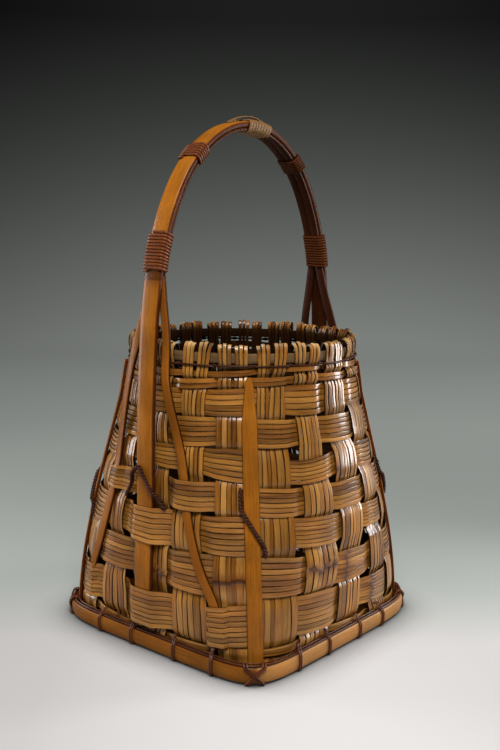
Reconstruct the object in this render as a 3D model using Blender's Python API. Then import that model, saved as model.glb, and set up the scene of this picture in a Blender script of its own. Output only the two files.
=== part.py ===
"""Split-bamboo flower basket: a square foot rising to a round mouth, with a tall arched handle.

Five flat stakes rise on each side and interlace with ten wefts that run round the body. Each stake
ends in two tongues that arch over a rim hoop above a twined cord. Posts cover the corners, a
heat-bent rail carries the foot, and the handle's strips tuck in under the wefts. A loose bamboo
tube inside holds the water. The origin is on the ground under the middle of the basket, +Z is up
and the handle arches over in the XZ plane. Lengths are in metres.
"""

from math import atan, cos, log, pi, sin, sqrt

import bmesh
import bpy
from mathutils import Vector

# Body of the basket
MOUTH_HEIGHT = 0.2604
MOUTH_RADIUS = 0.1065
FOOT_HALF_WIDTH = 0.1225
WALL_BULGE = 0.0098
BULGE_SKEW_SHARE = 0.75
CORNER_SURPLUS_SHARE = 0.24
ROUND_FROM_SHARE = 0.85
CORNER_FADE = 1.1

# Weave: flat bands, each standing for a group of splints
STAKES_PER_SIDE = 5
SIDES = 4
BAND_THICKNESS = 0.0016
BAND_CLEARANCE = 0.0012
STAKE_EDGE_SHARE = 0.075
ROW_SHARES = (
    (0.962, 0.988),
    (0.9236, 0.9562),
    (0.8356, 0.9147),
    (0.7358, 0.8264),
    (0.6267, 0.7258),
    (0.5207, 0.6160),
    (0.3902, 0.5100),
    (0.2596, 0.3794),
    (0.1037, 0.2465),
    (0.0353, 0.0929),
)
SEAT_CLEARANCE = 0.0003

# Rim: twined cord, hoop and the tongues that arch over it
TWINE_DIAMETER = 0.0016
TONGUE_EDGE_SHARE = 0.135
TONGUE_WIDTH_SHARE = 0.345
HOOP_HEIGHT = 0.009
HOOP_THICKNESS = 0.0036
HOOP_SIDES = 40
ARCH_RISE = 0.0066
TONGUE_TAIL = 0.0105

# Floor: the stakes fold in under a woven mat
FOLD_LENGTH = 0.012
FOLD_LEVELS = (0.0032, 0.0056)
FOLD_BEND = 0.0032
FOLD_KNEE_SHARES = (0.25, 0.333, 0.7)
MAT_THICKNESS = 0.002
MAT_INSET = 0.006
MAT_STEPS = 10

# Corner posts
POST_WIDTH = 0.0135
POST_TIP_WIDTH = 0.006
POST_THICKNESS = 0.003
POST_TOP_SHARE = 0.966
POST_TAPER_SHARE = 0.84
POST_BOTTOM = 0.0026
POST_STEPS = 12
POST_LEAN_SHARES = (0.05, -0.11)

# Foot rail with its filler cane, ties and corner bindings. It hugs the posts on the right and left
# more closely than those at the front and back, so some values are a pair: front and back, then
# right and left.
RAIL_THICKNESS = 0.0045
RAIL_HEIGHT = 0.0136
RAIL_CHAMFER = 0.0012
RAIL_SQUARENESS = (8, 5.3)
RAIL_CORNER_SHARES = (0.46, 0.62, 0.74, 0.84, 0.91, 0.97)
FILLER_DIAMETER = 0.0018
TIE_WIDTH = 0.0038
TIE_THICKNESS = 0.0011
TIE_BITE = 0.0004
TIE_SHARES = (
    (-0.56, -0.235, 0.13, 0.42),
    (-0.55, -0.19, 0.16, 0.52),
    (-0.57, -0.21, 0.14, 0.5),
    (-0.43, -0.11, 0.29, 0.62),
)
BINDING_DIAMETER = 0.0016
BINDING_HALF_SPREADS = (0.008, 0.0108)
RAIL_LIFT = BINDING_DIAMETER + SEAT_CLEARANCE

# Handle
ARCH_HEIGHT = 0.4762
HANDLE_WIDTH = 0.019
HANDLE_THICKNESS = 0.0055
HANDLE_CHAMFER = 0.0012
HANDLE_STEPS_PER_SPAN = 2
ARCH_SHARES = (
    (0.9955, 0.079),
    (0.9995, 0.130),
    (0.991, 0.212),
    (0.978, 0.284),
    (0.979, 0.378),
    (0.974, 0.481),
    (0.949, 0.609),
    (0.930, 0.663),
    (0.905, 0.717),
    (0.876, 0.756),
    (0.805, 0.817),
    (0.693, 0.880),
    (0.559, 0.929),
    (0.385, 0.9685),
    (0.200, 0.992),
    (0.0, 1.0),
)
STRIP_WIDTH = 0.0075
STRIP_THICKNESS = 0.0028
STRIP_STEPS_PER_SPAN = 1
STRIP_GAP = 0.0012
STRIP_JOIN_SHARE = 0.703
STRIP_SLOT_SHARE = 0.6

# Each strip's foot: (stake pitches from the face's middle, share of mouth height, stand-off)
WIDE_FOOT_SHARES = (
    (-1.78, 0.165, 1.0),
    (-1.68, 0.250, 1.0),
    (-1.47, 0.310, 1.0),
    (-1.36, 0.400, 1.0),
    (-1.24, 0.500, 1.0),
    (-1.20, 0.570, 1.0),
    (-1.20, 0.640, 1.05),
    (-1.17, 0.740, 1.7),
    (-1.02, 0.860, 2.9),
    (-0.74, 1.000, 4.0),
)
NARROW_FOOT_SHARES = (
    (1.87, 0.165, 1.0),
    (1.72, 0.250, 1.0),
    (1.36, 0.310, 1.0),
    (1.15, 0.380, 1.0),
    (1.07, 0.450, 1.0),
    (1.03, 0.520, 1.0),
    (0.97, 0.610, 1.0),
    (0.90, 0.700, 1.15),
    (0.80, 0.780, 1.9),
    (0.63, 0.860, 2.7),
    (0.48, 0.950, 3.7),
)

# From the mouth up to the bundle: (share of the rise, sideways in handle widths, depth in stand-offs)
WIDE_RISE_SHARES = ((0.35, -1.03, 0.9), (0.70, -0.58, 0.5))
NARROW_RISE_SHARES = ((0.28, 0.71, 0.95), (0.735, 0.46, 0.35))

# Rattan windings on the handle
WRAP_DIAMETER = 0.0021
WRAP_PITCH = 0.00285
WRAPS = (("long", 0.751, 12), ("short", 0.932, 6))
APEX_CANE_THICKNESS = 0.0013
APEX_CANE_WIDTH = 0.003
APEX_CANE_PITCH = 0.0041
APEX_WRAP_TURNS = 7
APEX_WRAP_START = -0.004
TOP_SLIP_WIDTH = 0.005
TOP_SLIP_THICKNESS = 0.001
TOP_SLIP_LENGTH = 0.064
TOP_SLIP_START = -0.026
TOP_SLIP_RISE = 0.0046
TOP_SLIP_SHARES = (0.0, 0.13, 0.32, 0.5, 0.7, 0.88, 1.0)
WINDING_STEPS_PER_SPAN = 12
WINDING_CORNER_SHARE = 0.8

# Dark cords round the posts and the handle's legs. The last column of the leg ties runs from 0 on
# the wall to 1 on the leg.
CORD_DIAMETER = 0.003
CORD_STEPS_PER_SPAN = 2
POST_TIE_TAIL_SHARES = ((-0.29, 0.622), (-0.28, 0.565), (0.255, 0.43), (0.265, 0.405))
POST_TIE_SLOPE_SHARES = (0.530, 0.455)
LEG_TIE_SHARES = (
    (-0.64, 0.540, 0),
    (-0.47, 0.585, 0.25),
    (-0.30, 0.640, 1),
    (0.0, 0.622, 1),
    (0.29, 0.592, 1),
    (0.38, 0.560, 0.25),
    (0.45, 0.528, 0),
)

# Water tube
TUBE_RADIUS = 0.034
TUBE_WALL = 0.0042
TUBE_HEIGHT = 0.175
TUBE_FLOOR = 0.006
TUBE_NODE_RISE = 0.0014
TUBE_NODE_SHARES = (0.62, 0.64, 0.66)
TUBE_EDGE = 0.0012
TUBE_STEPS = 24

# Worked-out values
STAKE_COUNT = SIDES * STAKES_PER_SIDE
WEAVE_OFFSET = (BAND_THICKNESS + BAND_CLEARANCE) / 2
WALL_SKIN = WEAVE_OFFSET + BAND_THICKNESS / 2
TONGUE_INNER_OFFSET = WEAVE_OFFSET - BAND_THICKNESS - 2 * SEAT_CLEARANCE - HOOP_THICKNESS
HOOP_OUTER_OFFSET = WEAVE_OFFSET - BAND_THICKNESS / 2 - SEAT_CLEARANCE
TWINE_OUTER_OFFSET = WALL_SKIN + 2 * SEAT_CLEARANCE + TWINE_DIAMETER / 2
TWINE_INNER_OFFSET = WEAVE_OFFSET - BAND_THICKNESS / 2 - SEAT_CLEARANCE - TWINE_DIAMETER / 2
TWINE_LIFT = (TWINE_DIAMETER + SEAT_CLEARANCE) / 2
HOOP_BOTTOM = MOUTH_HEIGHT + TWINE_LIFT + TWINE_DIAMETER / 2 + SEAT_CLEARANCE
HOOP_TOP = HOOP_BOTTOM + HOOP_HEIGHT
MAT_BOTTOM = max(FOLD_LEVELS) + BAND_THICKNESS / 2 + SEAT_CLEARANCE * 2
MAT_TOP = MAT_BOTTOM + MAT_THICKNESS
RAIL_TOP = RAIL_LIFT + RAIL_HEIGHT
RAIL_BACK = 2 * SEAT_CLEARANCE + TIE_THICKNESS
STRIP_DEPTH = HANDLE_THICKNESS + SEAT_CLEARANCE + STRIP_THICKNESS / 2
BUNDLE_DEPTH = STRIP_DEPTH + STRIP_THICKNESS / 2
STRIP_SPACING = (STRIP_WIDTH + STRIP_GAP) / 2
STAND_OFF = WALL_SKIN + SEAT_CLEARANCE + STRIP_THICKNESS / 2
NUDGE_SHARE = 0.001


def clear_scene():
    for obj in list(bpy.data.objects):
        bpy.data.objects.remove(obj, do_unlink=True)


def material(name, colour, roughness):
    made = bpy.data.materials.new(name)
    made.use_nodes = True
    shader = made.node_tree.nodes["Principled BSDF"]
    shader.inputs["Base Color"].default_value = (*colour, 1)
    shader.inputs["Roughness"].default_value = roughness
    made.diffuse_color = (*colour, 1)
    return made


def link(name, mesh, finish, parent):
    obj = bpy.data.objects.new(name, mesh)
    obj.data.materials.append(finish)
    obj.parent = parent
    bpy.context.scene.collection.objects.link(obj)
    return obj


def empty(name, location):
    obj = bpy.data.objects.new(name, None)
    obj.location = location
    bpy.context.scene.collection.objects.link(obj)
    return obj


def finish_mesh(bm, name):
    bmesh.ops.recalc_face_normals(bm, faces=bm.faces)
    mesh = bpy.data.meshes.new(name)
    bm.to_mesh(mesh)
    bm.free()
    return mesh


# Surface of the wall


def squareness(height):
    """How far the corner stands out past the side at this height, as a share of the side."""
    share = min(max(height / MOUTH_HEIGHT, 0), 1)
    return CORNER_SURPLUS_SHARE * max(1 - share / ROUND_FROM_SHARE, 0) ** CORNER_FADE


def half_width(height):
    share = min(max(height / MOUTH_HEIGHT, 0), 1)
    straight = FOOT_HALF_WIDTH + (MOUTH_RADIUS - FOOT_HALF_WIDTH) * share
    return straight + WALL_BULGE * sin(pi * share**BULGE_SKEW_SHARE)


def rail_half_width():
    """The rail stands just clear of the wall, with room for its ties behind it."""
    wall = half_width(RAIL_TOP + FILLER_DIAMETER) + WALL_SKIN
    return wall + RAIL_BACK + RAIL_THICKNESS


def plan_point(place, height, inset=0):
    """A point of the wall's plan; place counts stakes anticlockwise from the front-left corner."""
    side = place // STAKES_PER_SIDE
    along = 2 * (place - side * STAKES_PER_SIDE) / STAKES_PER_SIDE - 1
    surplus = squareness(height)
    square = surplus / CORNER_SURPLUS_SHARE
    turn = (1 - square) * along * pi / 4 + square * atan(along)
    power = log(2) / log(sqrt(2) / (1 + surplus))
    round_off = (abs(cos(turn)) ** power + abs(sin(turn)) ** power) ** (1 / power)
    radius = (half_width(height) - inset) / round_off
    angle = turn + (side - 1) * pi / 2
    return Vector((radius * cos(angle), radius * sin(angle), height))


def plan_normal(place, height):
    ahead = plan_point(place + NUDGE_SHARE, height)
    behind = plan_point(place - NUDGE_SHARE, height)
    along = ahead - behind
    return Vector((along.y, -along.x, 0)).normalized()


def wall_point(place, height, offset=0):
    return plan_point(place, height) + offset * plan_normal(place, height)


def stake_pitch(height):
    """Width of one stake's share of the wall, at the middle of a side."""
    first = STAKES_PER_SIDE // 2
    return (plan_point(first + 1, height) - plan_point(first, height)).length


# Meshes from rows of points


def quad_or_split(bm, corners, split):
    a, b, c, d = corners
    if split == "forward":
        bm.faces.new((a, b, c))
        bm.faces.new((a, c, d))
    elif split == "back":
        bm.faces.new((a, b, d))
        bm.faces.new((b, c, d))
    else:
        bm.faces.new((a, b, c, d))


def skin(bm, stations, closed=False, splits=None):
    """Join rings of vertices, one ring for each station, and cap the ends of an open run."""
    count = len(stations[0])
    splits = splits or {}
    pairs = list(zip(stations, stations[1:]))
    if closed:
        pairs.append((stations[-1], stations[0]))
    for first, second in pairs:
        for k in range(count):
            after = (k + 1) % count
            corners = (first[k], first[after], second[after], second[k])
            quad_or_split(bm, corners, splits.get(k))
    if not closed:
        bm.faces.new(stations[0])
        bm.faces.new(list(reversed(stations[-1])))


def vertices(bm, points):
    return [bm.verts.new(point) for point in points]


def smooth_curve(points, steps):
    """Points of a Catmull-Rom curve through the given points, with the given steps between two."""
    padded = [2 * points[0] - points[1], *points, 2 * points[-1] - points[-2]]
    made = []
    for a, b, c, d in zip(padded, padded[1:], padded[2:], padded[3:]):
        for step in range(steps):
            t = step / steps
            made.append(
                (2 * b + (c - a) * t + (2 * a - 5 * b + 4 * c - d) * t**2 + (3 * b - a - 3 * c + d) * t**3) / 2
            )
    made.append(points[-1])
    return made


def directions(points, closed=False):
    count = len(points)
    found = []
    for k in range(count):
        before = points[(k - 1) % count] if closed or k else points[0]
        after = points[(k + 1) % count] if closed or k < count - 1 else points[-1]
        found.append((after - before).normalized())
    return found


def sweep(bm, points, normals, section, closed=False):
    """Carry a section along points. Its x lies across the path, its y along the given normals."""
    stations = []
    for point, normal, ahead in zip(points, normals, directions(points, closed)):
        across = ahead.cross(normal).normalized()
        out = across.cross(ahead)
        stations.append(vertices(bm, [point + across * x + out * y for x, y in section]))
    skin(bm, stations, closed)


def strip_section(width, thickness, chamfer, depth=0):
    """A split-bamboo section: flat below, its upper edges eased. Its top lies at depth below zero."""
    half = width / 2
    low = -depth - thickness
    high = -depth
    return (
        (-half, low),
        (half, low),
        (half, high - chamfer),
        (half - chamfer, high),
        (-half + chamfer, high),
        (-half, high - chamfer),
    )


def flat_section(width, thickness):
    half = width / 2
    high = thickness / 2
    return ((-half, -high), (half, -high), (half, high), (-half, high))


def round_section(diameter, sides):
    radius = diameter / 2
    return [(radius * cos(2 * pi * k / sides), radius * sin(2 * pi * k / sides)) for k in range(sides)]


def away_normals(points, centre):
    """Normals for a closed tube that goes round a centre."""
    return [(point - centre).normalized() for point in points]


# Weave


def row_heights(row):
    low, high = ROW_SHARES[row - 1]
    return low * MOUTH_HEIGHT, high * MOUTH_HEIGHT


def face_centre(face):
    """The place at the middle of a face of the basket."""
    return face * STAKES_PER_SIDE + STAKES_PER_SIDE / 2


def weft_outside(stake, row):
    return (stake + row) % 2 == 0


def stake_edges(stake):
    return stake + STAKE_EDGE_SHARE, stake + 1 - STAKE_EDGE_SHARE


def tongue_edges(stake, half):
    low, high = stake + TONGUE_EDGE_SHARE, stake + 1 - TONGUE_EDGE_SHARE
    width = TONGUE_WIDTH_SHARE
    return (low, low + width) if half == 0 else (high - width, high)


def band_ring(bm, places, heights, offset):
    """One station of a band: inner face from low to high, then outer face back again."""
    inner = offset - BAND_THICKNESS / 2
    outer = offset + BAND_THICKNESS / 2
    spots = list(zip(places, heights))
    inside = [wall_point(place, height, inner) for place, height in spots]
    outside = [wall_point(place, height, outer) for place, height in reversed(spots)]
    return vertices(bm, inside + outside)


def folded_foot(stake):
    """Stations from the lowest row down and in under the floor, as (offset, height, lean)."""
    knee_in, knee_up, knee_lean = FOLD_KNEE_SHARES
    level = FOLD_LEVELS[(stake // STAKES_PER_SIDE) % 2]
    lowest = row_heights(len(ROW_SHARES))[0]
    shoulder = min(level + FOLD_BEND, lowest - BAND_THICKNESS)
    return (
        (0, shoulder, 0),
        (-FOLD_BEND * knee_in, level + FOLD_BEND * knee_up, knee_lean),
        (-FOLD_BEND, level, 1),
        (-FOLD_LENGTH, level, 1),
    )


def foot_ring(bm, stake, offset, height, lean):
    """A station of the fold, where the band's thickness swings from outward to downward."""
    low, high = stake_edges(stake)
    half = BAND_THICKNESS / 2
    reach = half * sqrt(1 - lean**2) if lean < 1 else 0
    drop = half * lean
    rows = ((-reach, drop), (reach, -drop))
    points = []
    for (out, rise), places in zip(rows, ((low, high), (high, low))):
        for place in places:
            points.append(wall_point(place, height + rise, offset + out))
    return vertices(bm, points)


def add_tongue(bm, stake, half, root):
    """A tongue rises outside the hoop, arches over it and returns inside."""
    places = tongue_edges(stake, half)
    middle = (WEAVE_OFFSET + TONGUE_INNER_OFFSET) / 2
    reach = (WEAVE_OFFSET - TONGUE_INNER_OFFSET) / 2
    thick = BAND_THICKNESS / 2
    start = HOOP_TOP + SEAT_CLEARANCE
    stations = [root]
    for turn in (0, pi / 3, 2 * pi / 3, pi):
        rings = []
        for side in (-thick, thick):
            out = middle + (reach + side) * cos(turn)
            height = start + (ARCH_RISE + side) * sin(turn)
            rings.append([wall_point(place, height, out) for place in places])
        stations.append(vertices(bm, rings[0] + rings[1][::-1]))
    drop = Vector((0, 0, -TONGUE_TAIL))
    rings = [
        [wall_point(place, MOUTH_HEIGHT, TONGUE_INNER_OFFSET - side) + drop for place in places]
        for side in (-thick, thick)
    ]
    stations.append(vertices(bm, rings[0] + rings[1][::-1]))
    for first, second in zip(stations, stations[1:]):
        for k in range(len(first)):
            after = (k + 1) % len(first)
            bm.faces.new((first[k], first[after], second[after], second[k]))
    bm.faces.new(list(reversed(stations[-1])))


def make_stake(stake, finish, parent):
    bm = bmesh.new()
    places = stake_edges(stake)
    stations = []
    for row in range(1, len(ROW_SHARES) + 1):
        offset = -WEAVE_OFFSET if weft_outside(stake, row) else WEAVE_OFFSET
        low, high = row_heights(row)
        for height in (high, low):
            stations.append(band_ring(bm, places, (height, height), offset))
    for offset, height, lean in folded_foot(stake):
        stations.append(foot_ring(bm, stake, offset, height, lean))
    for first, second in zip(stations, stations[1:]):
        for k, split in enumerate(("back", None, "forward", None)):
            after = (k + 1) % len(first)
            quad_or_split(bm, (first[k], first[after], second[after], second[k]), split)
    bm.faces.new(list(reversed(stations[-1])))
    add_tongues(bm, stake, stations[0])
    return link(f"stake_{stake + 1:02d}", finish_mesh(bm, "stake"), finish, parent)


def add_tongues(bm, stake, top):
    """The stake's top ring widens to a ring that both tongues share, with a slit between them."""
    split_height = (row_heights(1)[1] + MOUTH_HEIGHT - TWINE_LIFT) / 2
    left = tongue_edges(stake, 0)
    right = tongue_edges(stake, 1)
    ring = band_ring(bm, (*left, *right), [split_height] * 4, WEAVE_OFFSET)
    in_a, in_b, in_c, in_d, out_d, out_c, out_b, out_a = ring
    in_low, in_high, out_high, out_low = top
    bm.faces.new((in_low, in_high, in_d, in_c, in_b, in_a))
    bm.faces.new((out_high, out_low, out_a, out_b, out_c, out_d))
    bm.faces.new((in_high, out_high, out_d, in_d))
    bm.faces.new((out_low, in_low, in_a, out_a))
    bm.faces.new((in_b, in_c, out_c, out_b))
    add_tongue(bm, stake, 0, [in_a, in_b, out_b, out_a])
    add_tongue(bm, stake, 1, [in_c, in_d, out_d, out_c])


def tucked_strips():
    """Where a weft passes over a handle strip: {(row, stake): (middle place, half span, stand-off)}."""
    over = 2 * SEAT_CLEARANCE + BAND_THICKNESS / 2
    over_thin = STAND_OFF + STRIP_THICKNESS / 2 + over + 2 * SEAT_CLEARANCE
    found = {}
    for face in (1, 3):
        centre = face_centre(face)
        for row in (7, 9):
            span = (HANDLE_WIDTH / 2 + 2 * SEAT_CLEARANCE) / stake_pitch(row_heights(row)[0])
            stands = [leg_face(height) - half_width(height) for height in row_heights(row)]
            found[row, int(centre)] = (centre, span, max(stands) + over)
        for foot in (WIDE_FOOT_SHARES, NARROW_FOOT_SHARES):
            for row in (6, 9):
                low, high = row_heights(row)
                places = [place_at(foot, height) for height in (low, high)]
                middle = centre + sum(places) / 2
                lean = abs(places[0] - places[1]) / 2
                span = lean + STRIP_SLOT_SHARE * STRIP_WIDTH / stake_pitch(low)
                found[row, int(middle)] = (middle, span, over_thin)
    return found


def place_at(foot, height):
    """How far a strip's foot lies from the face's middle at this height, in stake pitches."""
    share = height / MOUTH_HEIGHT
    for (place_a, share_a, _), (place_b, share_b, _) in zip(foot, foot[1:]):
        if share <= share_b:
            part = max(share - share_a, 0) / (share_b - share_a)
            return place_a + (place_b - place_a) * part
    return foot[-1][0]


def make_weft(row, tucked, finish, parent):
    bm = bmesh.new()
    heights = row_heights(row)
    stations = []
    for stake in range(STAKE_COUNT):
        offset = WEAVE_OFFSET if weft_outside(stake, row) else -WEAVE_OFFSET
        spots = [(place, offset) for place in stake_edges(stake)]
        if (row, stake) in tucked:
            middle, span, stand_off = tucked[row, stake]
            spots[1:1] = [(middle - span, stand_off), (middle + span, stand_off)]
        for place, out in spots:
            stations.append(band_ring(bm, (place, place), heights, out))
    skin(bm, stations, closed=True, splits={0: "forward", 2: "back"})
    return link(f"weft_{row:02d}", finish_mesh(bm, "weft"), finish, parent)


# Rim


def make_hoop(finish, parent):
    bm = bmesh.new()
    stations = []
    for k in range(HOOP_SIDES):
        place = k * STAKE_COUNT / HOOP_SIDES
        inner = HOOP_OUTER_OFFSET - HOOP_THICKNESS
        corners = ((inner, HOOP_BOTTOM), (HOOP_OUTER_OFFSET, HOOP_BOTTOM))
        corners += ((HOOP_OUTER_OFFSET, HOOP_TOP), (inner, HOOP_TOP))
        stations.append(vertices(bm, [wall_point(place, height, out) for out, height in corners]))
    skin(bm, stations, closed=True)
    return link("rim_hoop", finish_mesh(bm, "rim_hoop"), finish, parent)


def make_twine(strand, finish, parent):
    """One strand of the twined cord: outside one stake, inside the next, crossing in the slits."""
    bm = bmesh.new()
    points = []
    normals = []
    for stake in range(STAKE_COUNT):
        outside = (stake + strand) % 2 == 0
        here = TWINE_OUTER_OFFSET if outside else TWINE_INNER_OFFSET
        there = TWINE_INNER_OFFSET if outside else TWINE_OUTER_OFFSET
        lift = TWINE_LIFT if outside else -TWINE_LIFT
        low, high = stake_edges(stake)
        spots = [(low, here, 0), (high, here, 0), (stake + 1, (here + there) / 2, lift)]
        if outside:
            spots.insert(1, ((low + high) / 2, here, 0))
        for place, out, rise in spots:
            points.append(wall_point(place, MOUTH_HEIGHT + rise, out))
            normals.append(plan_normal(place, MOUTH_HEIGHT))
    sweep(bm, points, normals, round_section(TWINE_DIAMETER, 4), closed=True)
    return link(f"rim_twine_{'ab'[strand]}", finish_mesh(bm, "rim_twine"), finish, parent)


# Floor


def make_mat(finish, parent):
    bm = bmesh.new()
    count = SIDES * MAT_STEPS
    rings = []
    for height in (MAT_BOTTOM, MAT_TOP):
        places = [k * STAKE_COUNT / count for k in range(count)]
        points = [plan_point(place, MAT_BOTTOM, MAT_INSET) for place in places]
        rings.append(vertices(bm, [Vector((point.x, point.y, height)) for point in points]))
    skin(bm, rings)
    return link("floor_mat", finish_mesh(bm, "floor_mat"), finish, parent)


# Corner posts


def post_place(corner, share):
    low, high = POST_LEAN_SHARES
    return corner * STAKES_PER_SIDE + low + (high - low) * share


def make_post(corner, finish, parent):
    bm = bmesh.new()
    stations = []
    top = POST_TOP_SHARE * MOUTH_HEIGHT
    for step in range(POST_STEPS + 1):
        share = step / POST_STEPS
        height = POST_BOTTOM + (top - POST_BOTTOM) * share
        taper = max(share - POST_TAPER_SHARE, 0) / (1 - POST_TAPER_SHARE)
        width = POST_WIDTH + (POST_TIP_WIDTH - POST_WIDTH) * taper
        face = WALL_SKIN + SEAT_CLEARANCE + POST_THICKNESS
        section = strip_section(width, POST_THICKNESS, POST_THICKNESS / 4)
        stations.append(vertices(bm, [post_point(corner, x, height, face + y) for x, y in section]))
    skin(bm, stations)
    name = ("front", "right", "back", "left")[corner]
    return link(f"corner_post_{name}", finish_mesh(bm, "corner_post"), finish, parent)


# Foot rail


def rail_squareness(along, side):
    """How square the rail's plan is, eased from one corner of a side to the next."""
    share = (along + 1) / 2
    ease = share**2 * (3 - 2 * share)
    here = RAIL_SQUARENESS[side % 2]
    there = RAIL_SQUARENESS[(side + 1) % 2]
    return here + (there - here) * ease


def rail_point(along, side, inset, height):
    """A point of the rail's plan; along runs from -1 to 1 over a side."""
    turn = atan(along)
    power = rail_squareness(along, side)
    round_off = (cos(turn) ** power + abs(sin(turn)) ** power) ** (1 / power)
    radius = (rail_half_width() - inset) / round_off
    angle = turn + (side - 1) * pi / 2
    return Vector((radius * cos(angle), radius * sin(angle), height))


def rail_stops():
    shares = RAIL_CORNER_SHARES
    return [-1, *[-share for share in reversed(shares)], 0, *shares]


def make_rail(finish, parent):
    bm = bmesh.new()
    stations = []
    section = (
        (RAIL_THICKNESS, RAIL_LIFT),
        (0, RAIL_LIFT),
        (0, RAIL_TOP - RAIL_CHAMFER),
        (RAIL_CHAMFER, RAIL_TOP),
        (RAIL_THICKNESS, RAIL_TOP),
    )
    for side in range(SIDES):
        for along in rail_stops():
            points = [rail_point(along, side, inset, height) for inset, height in section]
            stations.append(vertices(bm, points))
    skin(bm, stations, closed=True)
    return link("foot_rail", finish_mesh(bm, "foot_rail"), finish, parent)


def add_tie(bm, side, along):
    """A square loop of cane round the rail and the filler cane above it."""
    gap = SEAT_CLEARANCE
    inner_box = (
        (-gap, RAIL_LIFT - gap),
        (RAIL_THICKNESS + gap, RAIL_TOP + gap + FILLER_DIAMETER - TIE_BITE),
    )
    thick = TIE_THICKNESS
    outer_box = (
        (-gap - thick, RAIL_LIFT - gap - thick),
        (inner_box[1][0] + thick, inner_box[1][1] + thick),
    )
    step = TIE_WIDTH / 2 / rail_half_width()
    rings = []
    for place in (along - step, along + step):
        ring = []
        for (x0, z0), (x1, z1) in (outer_box, inner_box):
            corners = ((x0, z0), (x1, z0), (x1, z1), (x0, z1))
            ring.append(vertices(bm, [rail_point(place, side, x, z) for x, z in corners]))
        rings.append(ring)
    for k in range(4):
        after = (k + 1) % 4
        for level in (0, 1):
            first, second = rings[0][level], rings[1][level]
            bm.faces.new((first[k], first[after], second[after], second[k]))
        for outer, inner in rings:
            bm.faces.new((outer[k], outer[after], inner[after], inner[k]))


def make_lashing(finish, parent):
    """The filler cane along the rail's top, with the ties that bind it down."""
    bm = bmesh.new()
    for side in range(SIDES):
        for along in TIE_SHARES[side]:
            add_tie(bm, side, along)
    ties = link("rail_ties_helper", finish_mesh(bm, "rail_ties"), finish, parent)
    ties.hide_render = True
    ties.display_type = "WIRE"
    bm = bmesh.new()
    height = RAIL_TOP + SEAT_CLEARANCE + FILLER_DIAMETER / 2
    middle = RAIL_THICKNESS / 2
    points = [rail_point(along, side, middle, height) for side in range(SIDES) for along in rail_stops()]
    sweep(bm, points, away_normals(points, Vector((0, 0, height))), round_section(FILLER_DIAMETER, 4), closed=True)
    filler = link("rail_lashing", finish_mesh(bm, "rail_lashing"), finish, parent)
    joined = filler.modifiers.new("ties", "BOOLEAN")
    joined.operation = "UNION"
    joined.object = ties
    return filler


def make_binding(corner, finish, parent):
    """A strand that crosses itself over the rail's corner and runs round the rail on either side."""
    bm = bmesh.new()
    radius = BINDING_DIAMETER / 2
    reach = radius + SEAT_CLEARANCE
    spread = BINDING_HALF_SPREADS[corner % 2]
    out = plan_normal(corner * STAKES_PER_SIDE, 0)
    across = Vector((-out.y, out.x, 0))
    tip = rail_point(-1, corner, 0, 0)
    inner_tip = rail_point(-1, corner, RAIL_THICKNESS, 0)
    beside = rail_point(-1 + spread * sqrt(2) / rail_half_width(), corner, 0, 0)
    slope = (tip - beside).dot(out)
    low = RAIL_LIFT - reach
    high = RAIL_TOP + SEAT_CLEARANCE + FILLER_DIAMETER + reach
    face = tip.dot(out)
    back = inner_tip.dot(out) - reach - slope - radius
    middle = (low + high) / 2
    over = BINDING_DIAMETER + SEAT_CLEARANCE
    edge = face - slope
    front = edge + reach + SEAT_CLEARANCE
    crossing = face + reach + SEAT_CLEARANCE
    spots = (
        (-spread, edge, high),
        (-spread, front, high - reach),
        (0, crossing, middle),
        (spread, front, low + reach),
        (spread, edge, low),
        (spread, back + reach, low),
        (spread, back, low + reach),
        (spread, back, high - reach),
        (spread, back + reach, high),
        (spread, edge, high),
        (spread, front, high - reach),
        (0, crossing + over, middle),
        (-spread, front, low + reach),
        (-spread, edge, low),
        (-spread, back + reach, low),
        (-spread, back, low + reach),
        (-spread, back, high - reach),
        (-spread, back + reach, high),
    )
    points = [across * side + out * depth + Vector((0, 0, height)) for side, depth, height in spots]
    normals = []
    for (side, depth, height), along in zip(spots, directions(points, closed=True)):
        flat = height in (low, high)
        away = Vector((0, 0, height - middle)) if flat else out * (depth - (face + back) / 2)
        normals.append((away - along * away.dot(along)).normalized())
    sweep(bm, points, normals, flat_section(BINDING_DIAMETER, BINDING_DIAMETER), closed=True)
    for vert in bm.verts:
        if vert.co.z < BINDING_DIAMETER / 4:
            vert.co.z = 0
    name = ("front", "right", "back", "left")[corner]
    return link(f"corner_binding_{name}", finish_mesh(bm, "corner_binding"), finish, parent)


# Handle


def handle_half_span():
    """The legs stand as close as their thickness and the wall's bulge let them."""
    needed = []
    for across, rise in ARCH_SHARES:
        height = rise * ARCH_HEIGHT
        if height < MOUTH_HEIGHT:
            face = half_width(height) + WALL_SKIN + SEAT_CLEARANCE + HANDLE_THICKNESS
            needed.append(face / across)
    return max(needed)


def handle_route(steps=HANDLE_STEPS_PER_SPAN):
    """The outer face of the handle's main strip, from the -X foot over the top to the +X foot."""
    half_span = handle_half_span()
    left = [Vector((-x * half_span, 0, z * ARCH_HEIGHT)) for x, z in ARCH_SHARES]
    right = [Vector((-point.x, 0, point.z)) for point in reversed(left[:-1])]
    return smooth_curve(left + right, steps)


def handle_normals(points):
    return [out_of(ahead) for ahead in directions(points)]


def make_handle(finish, parent):
    bm = bmesh.new()
    points = handle_route()
    section = strip_section(HANDLE_WIDTH, HANDLE_THICKNESS, HANDLE_CHAMFER)
    sweep(bm, points, handle_normals(points), section)
    return link("handle_main_strip", finish_mesh(bm, "handle_main_strip"), finish, parent)


def foot_points(foot, face):
    centre = face_centre(face)
    found = []
    for place, share, stand_off in foot:
        height = share * MOUTH_HEIGHT
        normal = plan_normal(centre + place, height)
        found.append((wall_point(centre + place, height, stand_off * STAND_OFF), normal))
    return found


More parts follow.
